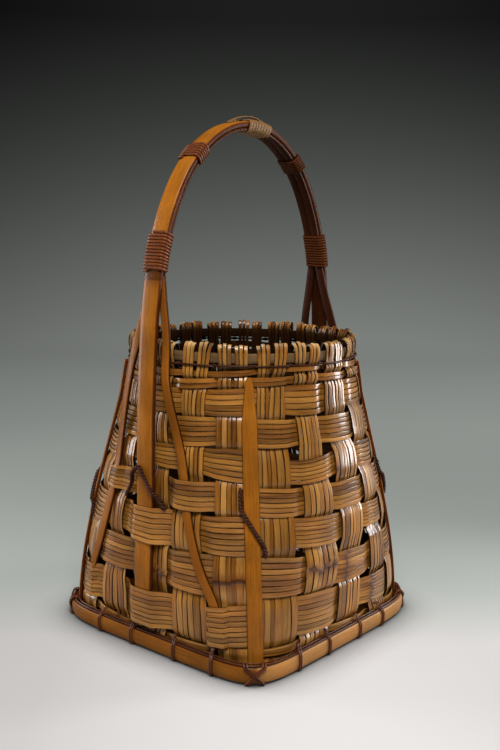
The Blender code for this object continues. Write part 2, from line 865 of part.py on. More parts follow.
def rise_points(rises, face):
    """Where a thin strip leans in beside the main strip, from the mouth up to the bundle."""
    sign = 1 if face == 1 else -1
    top = STRIP_JOIN_SHARE * ARCH_HEIGHT
    found = []
    for share, sideways, deeper in rises:
        height = MOUTH_HEIGHT + (top - MOUTH_HEIGHT) * share
        out = leg_face(height) - STRIP_DEPTH - deeper * STAND_OFF
        point = Vector((sign * out, sign * sideways * HANDLE_WIDTH, height))
        found.append((point, Vector((sign, 0, 0))))
    return found


def make_strip(side, finish, parent):
    """A thin strip: up one leg, along under the main strip, and down the other leg."""
    bm = bmesh.new()
    feet = ((WIDE_FOOT_SHARES, WIDE_RISE_SHARES), (NARROW_FOOT_SHARES, NARROW_RISE_SHARES))
    sign = 1 if side == 0 else -1
    foot, rises = feet[side]
    start = foot_points(foot, 3) + rise_points(rises, 3)
    foot, rises = feet[1 - side]
    end = foot_points(foot, 1) + rise_points(rises, 1)
    route = handle_route()
    bundle = []
    for point, normal in zip(route, handle_normals(route)):
        if point.z > STRIP_JOIN_SHARE * ARCH_HEIGHT:
            sideways = Vector((0, sign * STRIP_SPACING, 0))
            bundle.append((point - normal * STRIP_DEPTH + sideways, normal))
    spots = start + bundle + list(reversed(end))
    points = smooth_curve([point for point, _ in spots], STRIP_STEPS_PER_SPAN)
    normals = smooth_curve([normal for _, normal in spots], STRIP_STEPS_PER_SPAN)
    sweep(bm, points, normals, flat_section(STRIP_WIDTH, STRIP_THICKNESS))
    return link(f"handle_strip_{'ab'[side]}", finish_mesh(bm, "handle_strip"), finish, parent)


def arc_lengths(points):
    lengths = [0]
    for a, b in zip(points, points[1:]):
        lengths.append(lengths[-1] + (b - a).length)
    return lengths


def point_along(route, distance):
    """The point and direction at a distance along a route of (points, directions, lengths)."""
    points, aheads, lengths = route
    for k in range(1, len(points)):
        if lengths[k] >= distance or k == len(points) - 1:
            part = (distance - lengths[k - 1]) / (lengths[k] - lengths[k - 1])
            ahead = aheads[k - 1].lerp(aheads[k], part).normalized()
            return points[k - 1].lerp(points[k], part), ahead


def measured_route():
    points = handle_route(WINDING_STEPS_PER_SPAN)
    return points, directions(points), arc_lengths(points)


def bundle_outline(reach):
    """Eight places round the handle's strips, as (across, out from the outer face)."""
    half = HANDLE_WIDTH / 2
    ease = HANDLE_CHAMFER
    inner_half = STRIP_SPACING + STRIP_WIDTH / 2
    right = (
        (half - ease / 2, reach),
        (half + reach, -ease / 2),
        (half + reach, -HANDLE_THICKNESS - reach * WINDING_CORNER_SHARE),
        (inner_half + reach / 2, -BUNDLE_DEPTH - reach),
    )
    return right + tuple((-x, y) for x, y in reversed(right))


def winding_points(centre, pitch, turns, reach):
    """A helix round the handle's strips, about a distance along the handle's outer face."""
    route = measured_route()
    outline = bundle_outline(reach)
    count = len(outline)
    points = []
    normals = []
    for k in range(turns * count + 1):
        distance = centre + pitch * (k / count - turns / 2)
        point, ahead = point_along(route, distance)
        x, y = outline[k % count]
        points.append(point + Vector((0, x, 0)) + out_of(ahead) * y)
        normals.append(ahead)
    return points, square_normals(points, normals)


def out_of(ahead):
    """The handle's outward normal, where the handle runs this way in its plane."""
    return ahead.cross(Vector((0, 1, 0)))


def square_normals(points, normals):
    """The same normals, each turned square to the strand."""
    found = []
    for normal, ahead in zip(normals, directions(points)):
        found.append((normal - ahead * normal.dot(ahead)).normalized())
    return found


def least_gap(points, thickness):
    """The least distance between two turns of a winding, less the strand's own thickness."""
    least = None
    per_turn = len(bundle_outline(0))
    for k, point in enumerate(points):
        for a, b in list(zip(points, points[1:]))[k + per_turn - 2 :]:
            run = b - a
            part = min(max((point - a).dot(run) / run.length_squared, 0), 1)
            found = (a + run * part - point).length
            least = found if least is None else min(least, found)
    return least - thickness


def make_winding(name, centre, turns, finish, parent):
    reach = WRAP_DIAMETER / 2 + SEAT_CLEARANCE
    points, normals = winding_points(centre, WRAP_PITCH, turns, reach)
    gap = least_gap(points, WRAP_DIAMETER)
    print(f"{name}: least gap to itself {gap * 1000:.2f} mm")
    bm = bmesh.new()
    sweep(bm, points, normals, round_section(WRAP_DIAMETER, 5))
    return link(name, finish_mesh(bm, "winding"), finish, parent)


def distances_at(height):
    """How far along the handle's route it passes this height, going up and coming down."""
    points, _, lengths = measured_route()
    nearest = min(range(len(points) // 2), key=lambda k: abs(points[k].z - height))
    return lengths[nearest], lengths[-1] - lengths[nearest]


def make_apex_wrap(finish, parent):
    """A winding of flat cane at the top of the handle."""
    reach = APEX_CANE_THICKNESS / 2 + SEAT_CLEARANCE
    top = measured_route()[2][-1] / 2
    centre = top + APEX_WRAP_START + APEX_CANE_PITCH * APEX_WRAP_TURNS / 2
    points, normals = winding_points(centre, APEX_CANE_PITCH, APEX_WRAP_TURNS, reach)
    gap = least_gap(points, APEX_CANE_WIDTH)
    print(f"handle_wrap_top: least gap to itself {gap * 1000:.2f} mm")
    bm = bmesh.new()
    section = flat_section(APEX_CANE_THICKNESS, APEX_CANE_WIDTH)
    sweep(bm, points, normals, section)
    return link("handle_wrap_top", finish_mesh(bm, "winding"), finish, parent)


def make_top_slip(finish, parent):
    """A slip of cane that bows over the top winding and lies on the main strip at both ends."""
    bm = bmesh.new()
    route = measured_route()
    top = route[2][-1] / 2
    points = []
    normals = []
    seat = SEAT_CLEARANCE + TOP_SLIP_THICKNESS / 2
    for share in TOP_SLIP_SHARES:
        point, ahead = point_along(route, top + TOP_SLIP_START + TOP_SLIP_LENGTH * share)
        normal = out_of(ahead)
        points.append(point + normal * (seat + TOP_SLIP_RISE * sin(pi * share)))
        normals.append(normal)
    points = smooth_curve(points, 2)
    normals = smooth_curve(normals, 2)
    sweep(bm, points, normals, flat_section(TOP_SLIP_WIDTH, TOP_SLIP_THICKNESS))
    return link("handle_top_slip", finish_mesh(bm, "handle_top_slip"), finish, parent)


# Dark cords


def cord_tube(name, points, finish, parent):
    bm = bmesh.new()
    normals = []
    for point, ahead in zip(points, directions(points)):
        away = Vector((point.x, point.y, 0)).normalized()
        normals.append((away - ahead * away.dot(ahead)).normalized())
    sweep(bm, points, normals, round_section(CORD_DIAMETER, 5))
    return link(name, finish_mesh(bm, "cord"), finish, parent)


def make_post_tie(corner, finish, parent):
    """A cord that comes out beside the post, crosses it aslant and goes in on its other side."""
    reach = CORD_DIAMETER / 2 + SEAT_CLEARANCE
    first = corner * STAKES_PER_SIDE
    tails = []
    for place, share in POST_TIE_TAIL_SHARES:
        tails.append(wall_point(first + place, share * MOUTH_HEIGHT, WALL_SKIN + reach))
    high, low = (share * MOUTH_HEIGHT for share in POST_TIE_SLOPE_SHARES)
    face = WALL_SKIN + SEAT_CLEARANCE + POST_THICKNESS
    half = POST_WIDTH / 2
    top = face + reach
    over = ((-half - reach, face), (-half, top), (0, top), (half, top), (half + reach, face))
    crossing = []
    for k, (side, out) in enumerate(over):
        height = high + (low - high) * k / (len(over) - 1)
        crossing.append(post_point(corner, side, height, out))
    name = ("front", "right", "back", "left")[corner]
    return cord_tube(f"post_tie_{name}", [*tails[:2], *crossing, *tails[2:]], finish, parent)


def post_point(corner, side, height, out):
    """A point in front of a corner post, at a distance to its side and out from the wall."""
    share = (height - POST_BOTTOM) / (POST_TOP_SHARE * MOUTH_HEIGHT - POST_BOTTOM)
    first = corner * STAKES_PER_SIDE
    normal = plan_normal(first, height)
    across = Vector((-normal.y, normal.x, 0))
    lean = (post_place(corner, share) - first) * stake_pitch(height)
    return plan_point(first, height) + across * (side + lean) + normal * out


def make_leg_tie(face, finish, parent):
    """A cord slung over a leg of the handle, with both ends going into the wall."""
    centre = face_centre(face)
    reach = CORD_DIAMETER / 2 + SEAT_CLEARANCE
    low = WALL_SKIN + reach
    points = []
    for place, share, rise in LEG_TIE_SHARES:
        height = share * MOUTH_HEIGHT
        leg = leg_face(height) - half_width(height) + reach
        points.append(wall_point(centre + place, height, low + (leg - low) * rise))
    name = ("right", "left")[face // 2]
    return cord_tube(f"leg_tie_{name}", smooth_curve(points, CORD_STEPS_PER_SPAN), finish, parent)


def leg_face(height):
    """How far out the handle's outer face stands at this height."""
    route = handle_route()
    for a, b in zip(route, route[1:]):
        if b.z >= height:
            return -a.x + (a.x - b.x) * (height - a.z) / (b.z - a.z)


# Water tube


def make_tube(finish, parent):
    bm = bmesh.new()
    inner = TUBE_RADIUS - TUBE_WALL
    low, mid, high = (share * TUBE_HEIGHT for share in TUBE_NODE_SHARES)
    profile = (
        (0, 0),
        (TUBE_RADIUS - TUBE_EDGE, 0),
        (TUBE_RADIUS, TUBE_EDGE),
        (TUBE_RADIUS, low),
        (TUBE_RADIUS + TUBE_NODE_RISE, mid),
        (TUBE_RADIUS, high),
        (TUBE_RADIUS, TUBE_HEIGHT - TUBE_EDGE),
        (TUBE_RADIUS - TUBE_EDGE, TUBE_HEIGHT),
        (inner, TUBE_HEIGHT),
        (inner, TUBE_FLOOR),
        (0, TUBE_FLOOR),
    )
    edge = vertices(bm, [(radius, 0, height) for radius, height in profile])
    edges = [bm.edges.new(pair) for pair in zip(edge, edge[1:])]
    bmesh.ops.spin(
        bm,
        geom=edge + edges,
        cent=(0, 0, 0),
        axis=(0, 0, 1),
        angle=2 * pi,
        steps=TUBE_STEPS,
        use_merge=True,
    )
    bmesh.ops.remove_doubles(bm, verts=bm.verts, dist=SEAT_CLEARANCE / 100)
    mesh = finish_mesh(bm, "water_tube")
    return link("water_tube", mesh, finish, parent)


def shade(objects):
    for obj in objects:
        obj.data.shade_smooth()
        obj.data.set_sharp_from_angle(angle=pi / 6)


def main():
    clear_scene()
    splint = material("splint_bamboo", (0.44, 0.22, 0.07), 0.35)
    stake_finish = material("stake_bamboo", (0.5, 0.28, 0.1), 0.35)
    strip = material("strip_bamboo", (0.55, 0.27, 0.07), 0.3)
    hoop = material("hoop_bamboo", (0.2, 0.13, 0.07), 0.5)
    rattan = material("rattan", (0.2, 0.06, 0.02), 0.35)
    cane = material("pale_cane", (0.5, 0.3, 0.14), 0.4)
    cord = material("dark_cord", (0.06, 0.03, 0.02), 0.6)
    dark = material("stained_bamboo", (0.09, 0.05, 0.03), 0.4)
    basket = empty("basket", (0, 0, 0))
    lift = empty("tube_lift", (0, 0, MAT_TOP + SEAT_CLEARANCE))

    made = [make_stake(stake, stake_finish, basket) for stake in range(STAKE_COUNT)]
    tucked = tucked_strips()
    made += [make_weft(row, tucked, splint, basket) for row in range(1, len(ROW_SHARES) + 1)]
    made.append(make_hoop(hoop, basket))
    made += [make_twine(strand, cord, basket) for strand in (0, 1)]
    made.append(make_mat(splint, basket))
    made.append(make_rail(strip, basket))
    made.append(make_lashing(rattan, basket))
    for corner in range(SIDES):
        made.append(make_post(corner, strip, basket))
        made.append(make_binding(corner, rattan, basket))
        made.append(make_post_tie(corner, cord, basket))
    made.append(make_handle(strip, basket))
    made += [make_strip(side, strip, basket) for side in (0, 1)]
    made += [make_leg_tie(face, cord, basket) for face in (1, 3)]
    for label, share, turns in WRAPS:
        for side, distance in zip(("left", "right"), distances_at(share * ARCH_HEIGHT)):
            made.append(make_winding(f"handle_wrap_{label}_{side}", distance, turns, rattan, basket))
    made.append(make_apex_wrap(cane, basket))
    made.append(make_top_slip(cane, basket))
    made.append(make_tube(dark, lift))
    shade(made)


main()
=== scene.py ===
"""Looks of the split-bamboo flower basket: every splint, tie and winding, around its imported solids."""

from math import cos, log, pi, radians, sin, sqrt

import bpy
import numpy as np
from mathutils import Matrix, Vector


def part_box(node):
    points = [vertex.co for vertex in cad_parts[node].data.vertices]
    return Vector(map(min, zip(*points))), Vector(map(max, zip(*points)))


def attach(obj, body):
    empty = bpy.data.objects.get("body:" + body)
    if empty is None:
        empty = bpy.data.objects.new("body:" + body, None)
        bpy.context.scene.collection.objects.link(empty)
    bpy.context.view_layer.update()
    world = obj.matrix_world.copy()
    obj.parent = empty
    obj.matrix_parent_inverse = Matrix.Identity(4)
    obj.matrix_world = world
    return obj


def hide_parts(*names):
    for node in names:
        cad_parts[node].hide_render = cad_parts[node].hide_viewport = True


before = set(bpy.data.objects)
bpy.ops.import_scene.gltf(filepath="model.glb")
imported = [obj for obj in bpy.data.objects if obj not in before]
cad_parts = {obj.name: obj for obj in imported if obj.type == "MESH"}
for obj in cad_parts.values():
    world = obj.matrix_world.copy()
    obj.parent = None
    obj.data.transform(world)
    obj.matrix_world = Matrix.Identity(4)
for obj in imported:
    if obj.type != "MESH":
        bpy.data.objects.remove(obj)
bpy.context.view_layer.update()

MM = 0.001

# Wall of the basket, as in the solids
MOUTH = 0.2604
MOUTH_RADIUS = 0.1065
FOOT_HALF = 0.1225
BULGE = 0.0098
BULGE_SKEW = 0.75
SURPLUS = 0.24
ROUND_FROM = 0.85
FADE = 1.1
STAKES = 20
PER_SIDE = 5
ROW_SHARES = np.array(
    (
        (0.962, 0.988),
        (0.9236, 0.9562),
        (0.8356, 0.9147),
        (0.7358, 0.8264),
        (0.6267, 0.7258),
        (0.5207, 0.6160),
        (0.3902, 0.5100),
        (0.2596, 0.3794),
        (0.1037, 0.2465),
        (0.0353, 0.0929),
    )
)
ROWS = ROW_SHARES * MOUTH
ROW_SPLINTS = (1, 2, 5, 6, 6, 6, 7, 7, 8, 3)
STAKE_SPLINTS = 6
STAKE_EDGE = 0.075

# Weave of the splints: thickness, how far bands swing from the wall's middle, and how far their
# cells puff out on the outside and on the inside
SPLINT = 1.0 * MM
SWING = 1.25 * MM
PILLOW = 0.75 * MM
CROWN = 0.5 * MM
STAKE_PILLOW = 0.7 * MM
INNER_PILLOW = 0.25 * MM
INNER_STAKE_PILLOW = 0.2 * MM
SKIN = 2.2 * MM
# Share of a cell, and length of a stake, in which a band passes from inside to outside
TURN_SHARE = 0.17
STAKE_TURN = 4.2 * MM
# Gap taken above the top row and below the lowest
ROW_GAP = 4 * MM
# Gaps between splints, as shares of a splint's width
GROOVE_SHARES = (0.025, 0.085)
STAKE_GROOVE_SHARES = (0.075, 0.17)

# Where the rows stray from level, in millimetres: place from the front corner, then the rise of
# the row's upper edge and of its lower edge
ROW_STRAYS = {
    1: ((-1.2, -2, -1), (-0.1, 0.5, 2), (0.7, 2.5, 5), (1.9, 2.5, 5)),
    2: ((-2.1, -2, -2.5), (-0.9, 1.5, 1.5), (1, 3, 4), (1.7, 3.5, 5.5), (2.6, 2.5, 4.5)),
    3: ((-1.2, 1.5, -0.5), (-0.2, 4, 1), (0.8, 6, 0.5), (2, 5, -0.5), (2.75, 6, 1.5), (3.4, 4.5, 2.5)),
    4: (
        (-1.8, 0, -1.5), (-0.9, 2, 1), (0.2, 0.5, 0), (1.1, -1, -0.5),
        (1.8, 0, 0), (3, -1.5, -2), (4.4, -3, -4),
    ),
    5: (
        (-2.6, -1, 8), (-1.9, 2.5, 5), (-1.15, 1, 4), (-0.25, 3, -0.5),
        (0.9, -11, -4.5), (2.2, -7, -3), (3, -3, -1), (4.4, -8, -4.5),
    ),
    6: (
        (-4.3, -3, 6), (-3.2, 2, 4), (-2.2, 1, 2), (-0.9, 2.5, 1.5),
        (0.2, -2, -1), (1.2, -4.5, -3.5), (2, -6, -6), (3.3, -6.5, -6.5),
    ),
    7: (
        (-3.4, -1, 1.5), (-1.9, 1.5, -0.5), (-1.15, 0, 0.5), (-0.2, 3, 1),
        (1, -2, 4), (2.3, -7, -1.5), (3.2, -6, 2.5), (4.1, -9, 1.5),
    ),
    8: (
        (-3.9, -1, 0), (-3.1, 0, 0.5), (-2.05, -1.5, -1), (-1.2, 3, -2),
        (0.25, 3, 1), (1.2, -2, -2.5), (2.15, -8.5, -7), (3.4, -12, -7.5),
    ),
    9: (
        (-4.4, -4.5, 3), (-3.8, 0, 2.5), (-3.1, -7, -2.5), (-1.8, -5.5, -2.5),
        (-1.1, -7, -4), (-0.2, -2, 0), (1.1, 0, 1.5), (2.2, -5.5, -4),
        (3.1, -10, 2.5), (3.9, -10, -1),
    ),
    10: (
        (-3.85, 1, 9), (-2.8, -7, 2.5), (-1.85, -3.5, 4), (-0.8, -1.5, 5.5),
        (0.3, 0, 9), (1.2, -1, 5.5), (2, 0, 9), (3.15, -5, 3.5),
    ),
}
# Past these places from the front corner the rows stray at random
STRAYS_END = 5.6
BEHIND_FROM = 4.2
STRAY_BEHIND = 1.2 * MM
# Where the stakes lean: row, then the left and right edges as shares of the stakes' pitch
STAKE_LEAN_SHARES = {
    0: ((1, 0.07, 0.78), (3, 0.08, 0.81), (5, 0.1, 0.88), (7, 0.12, 0.98), (9, 0.12, 1.08)),
    1: ((2, 0, 0.72), (4, 0.11, 0.72), (6, 0.19, 1.04), (8, 0.25, 1.2), (10, 0.12, 0.98)),
    2: ((1, 0, 0.8), (3, -0.06, 0.78), (5, 0.19, 1.05), (7, 0.34, 1.12), (9, 0.24, 0.96)),
    3: ((2, 0.06, 0.95), (4, 0.05, 1.06), (6, 0.24, 1.03), (8, 0.36, 0.98)),
    4: ((3, 0.12, 0.95), (5, 0.18, 0.95), (9, 0.1, 0.9)),
    16: ((5, 0.15, 0.85), (7, 0.32, 0.7), (9, 0.24, 0.95)),
    17: ((4, 0.2, 0.84), (6, 0.2, 1.04), (8, 0.14, 1.06), (10, 0.1, 0.95)),
    18: ((3, 0.2, 0.82), (5, 0.24, 0.86), (7, 0.12, 0.84), (9, 0.16, 1.0)),
    19: ((2, 0.09, 0.88), (4, 0.12, 0.88), (6, 0.14, 0.88), (8, 0.11, 0.88), (10, 0.2, 0.9)),
}
STAKE_WANDER = 0.06
# Joints of the culm that show: row or stake, then the place or the height in metres
WEFT_JOINTS = {8: (2.48,), 9: (-2.86, 3.4), 10: (-3.3,)}
STAKE_JOINTS = {1: 0.083, 17: 0.075, 19: 0.080, 3: 0.095, 7: 0.12, 12: 0.06}
# Stakes whose splints are crushed at the joint
KINKED = (1, 17)
KINK = 1.8 * MM
KINK_REACH = 1.2 * MM
KINK_SWAY = 0.035
SEAT = 0.3 * MM

# Rim
HOOP_BOTTOM = MOUTH + 2.05 * MM
HOOP_HEIGHT = 9 * MM
HOOP_THICK = 3.6 * MM
LOOP_EDGE = 0.125
LOOP_SHARE = 0.325
LOOP_RISE = 6.6 * MM
LOOP_OUTER = 1.4 * MM
LOOP_INNER = -4.6 * MM
LOOP_TURN = np.linspace(0, pi, 11)
TWINE = 1.9 * MM
TWINE_OUTER = 2.6 * MM
TWINE_INNER = -0.2 * MM

# Feet of the stakes: a level for each pair of facing sides, then millimetres in and up, and the tilt
# in degrees
FOOT_LEVELS = (3.6 * MM, 5.8 * MM)
FOOT_FOLD = ((12, 0, 90), (6, 0, 90), (2.8, 0.6, 65), (0.7, 2.2, 35), (0, 4.5, 10))

# Floor
MAT_LEVEL = 8.2 * MM
MAT_REACH = 118 * MM
MAT_STEP = 10.5 * MM
MAT_THICK = 0.55 * MM

# Rail
RAIL_LIFT = 1.9 * MM
RAIL_HEIGHT = 13.6 * MM
RAIL_TOP = RAIL_LIFT + RAIL_HEIGHT
RAIL_THICK = 4.5 * MM
RAIL_HALF = 0.13375
RAIL_SQUARENESS = (8, 5.3)
TIE = 2.0 * MM
TIE_THICK = 1.5 * MM
BINDING_SPREADS = (8 * MM, 10.8 * MM)
FILLER = 1.8 * MM
BACK_CANE = 1.5 * MM
TIE_SHARES = (
    (-0.56, -0.235, 0.13, 0.42),
    (-0.55, -0.19, 0.16, 0.52),
    (-0.57, -0.21, 0.14, 0.5),
    (-0.43, -0.11, 0.29, 0.62),
)

# Posts
POST_WIDTH = 13.5 * MM
POST_TIP = 6 * MM
POST_THICK = 3 * MM
POST_TOP = 0.966 * MOUTH
POST_BOTTOM = 2.6 * MM
POST_TAPER = 0.84
POST_TIP_FROM = 0.97
POST_LEAN = (0.05, -0.11)

# Handle
ARCH = 0.4762
HALF_SPAN = 0.13538
HANDLE_WIDTH = 19 * MM
HANDLE_THICK = 5.5 * MM
ARCH_SHARES = (
    (0.9955, 0.079), (0.9995, 0.130), (0.991, 0.212), (0.978, 0.284),
    (0.979, 0.378), (0.974, 0.481), (0.949, 0.609), (0.930, 0.663),
    (0.905, 0.717), (0.876, 0.756), (0.805, 0.817), (0.693, 0.880),
    (0.559, 0.929), (0.385, 0.9685), (0.200, 0.992), (0.0, 1.0),
)
STAIN_HEIGHT = 0.3365
STRIP_WIDTH = 7.5 * MM
STRIP_FULL_WIDTH = 8.4 * MM
STRIP_THICK = 2.8 * MM
STRIP_SPACING = 4.35 * MM
STRIP_DEPTH = HANDLE_THICK + SEAT + STRIP_THICK / 2
STRIP_JOIN = 0.703 * ARCH
SHADE_FROM = (0.02, 0.07)
STAND_OFF = 3.9 * MM
WIDE_FOOT = (
    (-1.70, 0.165, 1.0), (-1.56, 0.250, 1.0), (-1.45, 0.310, 1.0), (-1.34, 0.400, 1.0),
    (-1.24, 0.500, 1.0), (-1.20, 0.570, 1.0), (-1.20, 0.640, 1.05), (-1.17, 0.740, 1.7),
    (-1.02, 0.860, 2.9), (-0.74, 1.000, 4.0),
)
NARROW_FOOT = (
    (1.80, 0.165, 1.0), (1.60, 0.250, 1.0), (1.42, 0.310, 1.0), (1.25, 0.380, 1.0),
    (1.13, 0.450, 1.0), (1.04, 0.520, 1.0), (0.96, 0.610, 1.0), (0.84, 0.700, 1.15),
    (0.70, 0.780, 1.9), (0.54, 0.860, 2.7), (0.42, 0.950, 3.7),
)
WIDE_RISE = ((0.35, -1.03, 0.9), (0.70, -0.58, 0.5))
NARROW_RISE = ((0.28, 0.71, 0.95), (0.735, 0.46, 0.35))
WRAP = 2.15 * MM
WRAP_WIDTH = 2.65 * MM
WRAP_PITCH = 2.85 * MM
APEX_CANE = 3.7 * MM
APEX_THICK = 1.3 * MM
APEX_PITCH = 4.1 * MM
APEX_TURNS = 8
SLIP = 4.6 * MM
SLIP_THICK = 1.0 * MM
SLIP_START = -26 * MM
SLIP_LENGTH = 64 * MM
SLIP_RISE = 4.4 * MM

# Cords: routes of the ties as place, share of the mouth's height, and stand-off
ROPE = 4.2 * MM
ROPE_TURNS = 160
TIE_IN = ((-0.285, 0.606, -0.8), (-0.29, 0.594, 0.8), (-0.285, 0.57, 1.0))
TIE_OUT = ((0.255, 0.415, 1.0), (0.265, 0.400, 0.8), (0.26, 0.390, -0.8))
TIE_SLOPE = (0.546, 0.434)
LEG_TIE = (
    (-0.64, 0.530, 0), (-0.46, 0.578, 0.3), (-0.29, 0.622, 1), (-0.09, 0.648, 1.05),
    (0.05, 0.620, 1.05), (0.27, 0.574, 1), (0.38, 0.546, 0.3), (0.46, 0.516, 0),
)

# Water tube: a ridge in millimetres, above the joint and out from the culm
TUBE_RADIUS = 34 * MM
TUBE_BORE = 29.8 * MM
TUBE_JOINT_SHARE = 0.64
TUBE_RIDGE = (
    (-12, 0), (-4.5, 0.2), (-2, 1.0), (-0.6, 1.4),
    (0.4, 0.4), (1.0, 0.6), (2.4, 1.1), (5, 0.2),
    (12, 0),
)

# Colours that several finishes share
SHADOWED = (0.014, 0.0050, 0.0018)
RED_FLANK = (0.075, 0.017, 0.004)
# Painted light: the pale colour mixed in where the shade attribute is below zero, for painted highlights and
# lit faces
PAINTED_LIGHT = (0.66, 0.41, 0.18)
# Joint of a culm: its dark band and the stain round it, and how far from the joint each one fades
JOINT_BAND = (0.032, 0.010, 0.004)
JOINT_STAIN = (0.13, 0.030, 0.005)
BAND_REACH = (1.1 * MM, 2.6 * MM)
STAIN_REACH = (2.5 * MM, 9 * MM)

# Studio: where its floor ends, the curve up into the wall, and the tints and painted light of the paper
FLOOR_REACH = 2.0
CURVE = 0.6
WALL_TOP = 3.2
STUDIO_SIDES = 96
VIEW_YAW = 0.87629
LIT_POINT = (0, 0, 0.15)
GREEN_TINT = (0.955, 1.02, 0.955)
WARM_TINT = (1.03, 0.992, 0.975)
# Levels of the paper as seen, from 0 black to 1 white. They paint light on it: the floor is paler near the
# camera, the wall darkens upwards from its foot, GLOW is a painted glow on the wall behind the basket and
# POOL a painted pool of light in front of the basket
FLOOR_LEVELS = (0.615, 0.455)
NEAR_LIFT = 0.178
WALL_LEVELS = (0.445, 0.062)
WALL_REACH = 1.08
GLOW = 0.052
POOL = 0.15
SHADOW_SHARE = 0.62
PAPER_LIFT = 0.9

rng = np.random.default_rng(11)
LOOPS = np.stack(
    [
        rng.normal(0.3, 0.9, (STAKES, 2)) * MM,
        rng.normal(0.012, 0.012, (STAKES, 2)),
        rng.normal(0, 0.022, (STAKES, 2)),
    ],
    -1,
)


# Wall surface


def half_width(height):
    share = np.clip(height / MOUTH, 0, 1)
    straight = FOOT_HALF + (MOUTH_RADIUS - FOOT_HALF) * share
    return straight + BULGE * np.sin(pi * share**BULGE_SKEW)


def plan(place, height, inset=0.0):
    """Points of the wall's plan; place counts stakes anticlockwise from the front corner."""
    place, height = np.broadcast_arrays(np.asarray(place, float), np.asarray(height, float))
    around = place % STAKES
    side = np.floor(around / PER_SIDE)
    along = 2 * (around - side * PER_SIDE) / PER_SIDE - 1
    share = np.clip(height / MOUTH, 0, 1)
    surplus = SURPLUS * np.maximum(1 - share / ROUND_FROM, 0) ** FADE
    square = surplus / SURPLUS
    turn = (1 - square) * along * pi / 4 + square * np.arctan(along)
    power = log(2) / np.log(sqrt(2) / (1 + surplus))
    round_off = (np.abs(np.cos(turn)) ** power + np.abs(np.sin(turn)) ** power) ** (1 / power)
    radius = (half_width(height) - inset) / round_off
    angle = turn + (side - 1) * pi / 2
    return np.stack([radius * np.cos(angle), radius * np.sin(angle), height], -1)


def plan_out(place, height):
    along = plan(np.asarray(place) + 0.02, height) - plan(np.asarray(place) - 0.02, height)
    out = np.stack([along[..., 1], -along[..., 0], np.zeros_like(along[..., 0])], -1)
    return out / np.linalg.norm(out, axis=-1, keepdims=True)


def wall(place, height, offset=0.0):
    return plan(place, height) + np.asarray(offset)[..., None] * plan_out(place, height)


def pitch_at(height):
    return np.linalg.norm(plan(3, height) - plan(2, height), axis=-1)


# Strands


def unit(v):
    return v / np.maximum(np.linalg.norm(v, axis=-1, keepdims=True), 1e-12)


def smooth_curve(points, steps):
    """A Catmull-Rom curve through rows of points."""
    p = np.asarray(points, float)
    p = np.vstack([2 * p[:1] - p[1:2], p, 2 * p[-1:] - p[-2:-1]])
    t = np.arange(steps)[None, :, None] / steps
    a, b, c, d = (p[k : len(p) - 3 + k, None] for k in range(4))
    curve = (2 * b + (c - a) * t + (2 * a - 5 * b + 4 * c - d) * t**2 + (3 * b - a - 3 * c + d) * t**3) / 2
    return np.vstack([curve.reshape(-1, p.shape[1]), p[-2:-1]])


def headings(points, closed=False):
    if closed:
        return unit(np.roll(points, -1, 0) - np.roll(points, 1, 0))
    return unit(np.gradient(points, axis=0))


def distances(points):
    """How far along a line of points each of them lies."""
    return np.concatenate([[0], np.cumsum(np.linalg.norm(np.diff(points, axis=0), axis=1))])


HALF_SPLINT = ((0.5, -0.5), (0.5, 0.25), (0.48, 0.41), (0.44, 0.475), (0.36, 0.493))
SPLINT_SECTION = np.array(tuple((-x, y) for x, y in HALF_SPLINT) + ((0, 0.5),) + HALF_SPLINT[::-1])


def round_section(sides):
    turn = 2 * pi * (np.arange(sides) + 0.5) / sides
    return np.stack([np.cos(turn), np.sin(turn)], -1) / 2


def bar_section(width, thick, ease, crown):
    """A bar with eased corners and a slightly crowned outer face, as shares of its width and thickness."""
    x, y = width / 2 - ease, thick / 2 - ease
    high = thick / 2 + crown
    corners = []
    for start, (cx, cy) in enumerate(((x, y), (-x, y), (-x, -y), (x, -y))):
        for step in range(3):
            turn = (start + step / 2) * pi / 2
            corners.append((cx + ease * cos(turn), cy + ease * sin(turn)))
        if start == 0:
            corners += [(x / 2, high - 0.2 * crown), (0, high), (-x / 2, high - 0.2 * crown)]
    return np.array(corners) / (width, thick)


def ring_faces(rings, sides, closed=False):
    """Quads between rings of points, each ring joined to the next."""
    index = np.arange(rings * sides).reshape(rings, sides)
    following = np.roll(index, -1, 1)
    quads = np.stack([index, following, np.roll(following, -1, 0), np.roll(index, -1, 0)], -1)
    return (quads if closed else quads[:-1]).reshape(-1, 4)


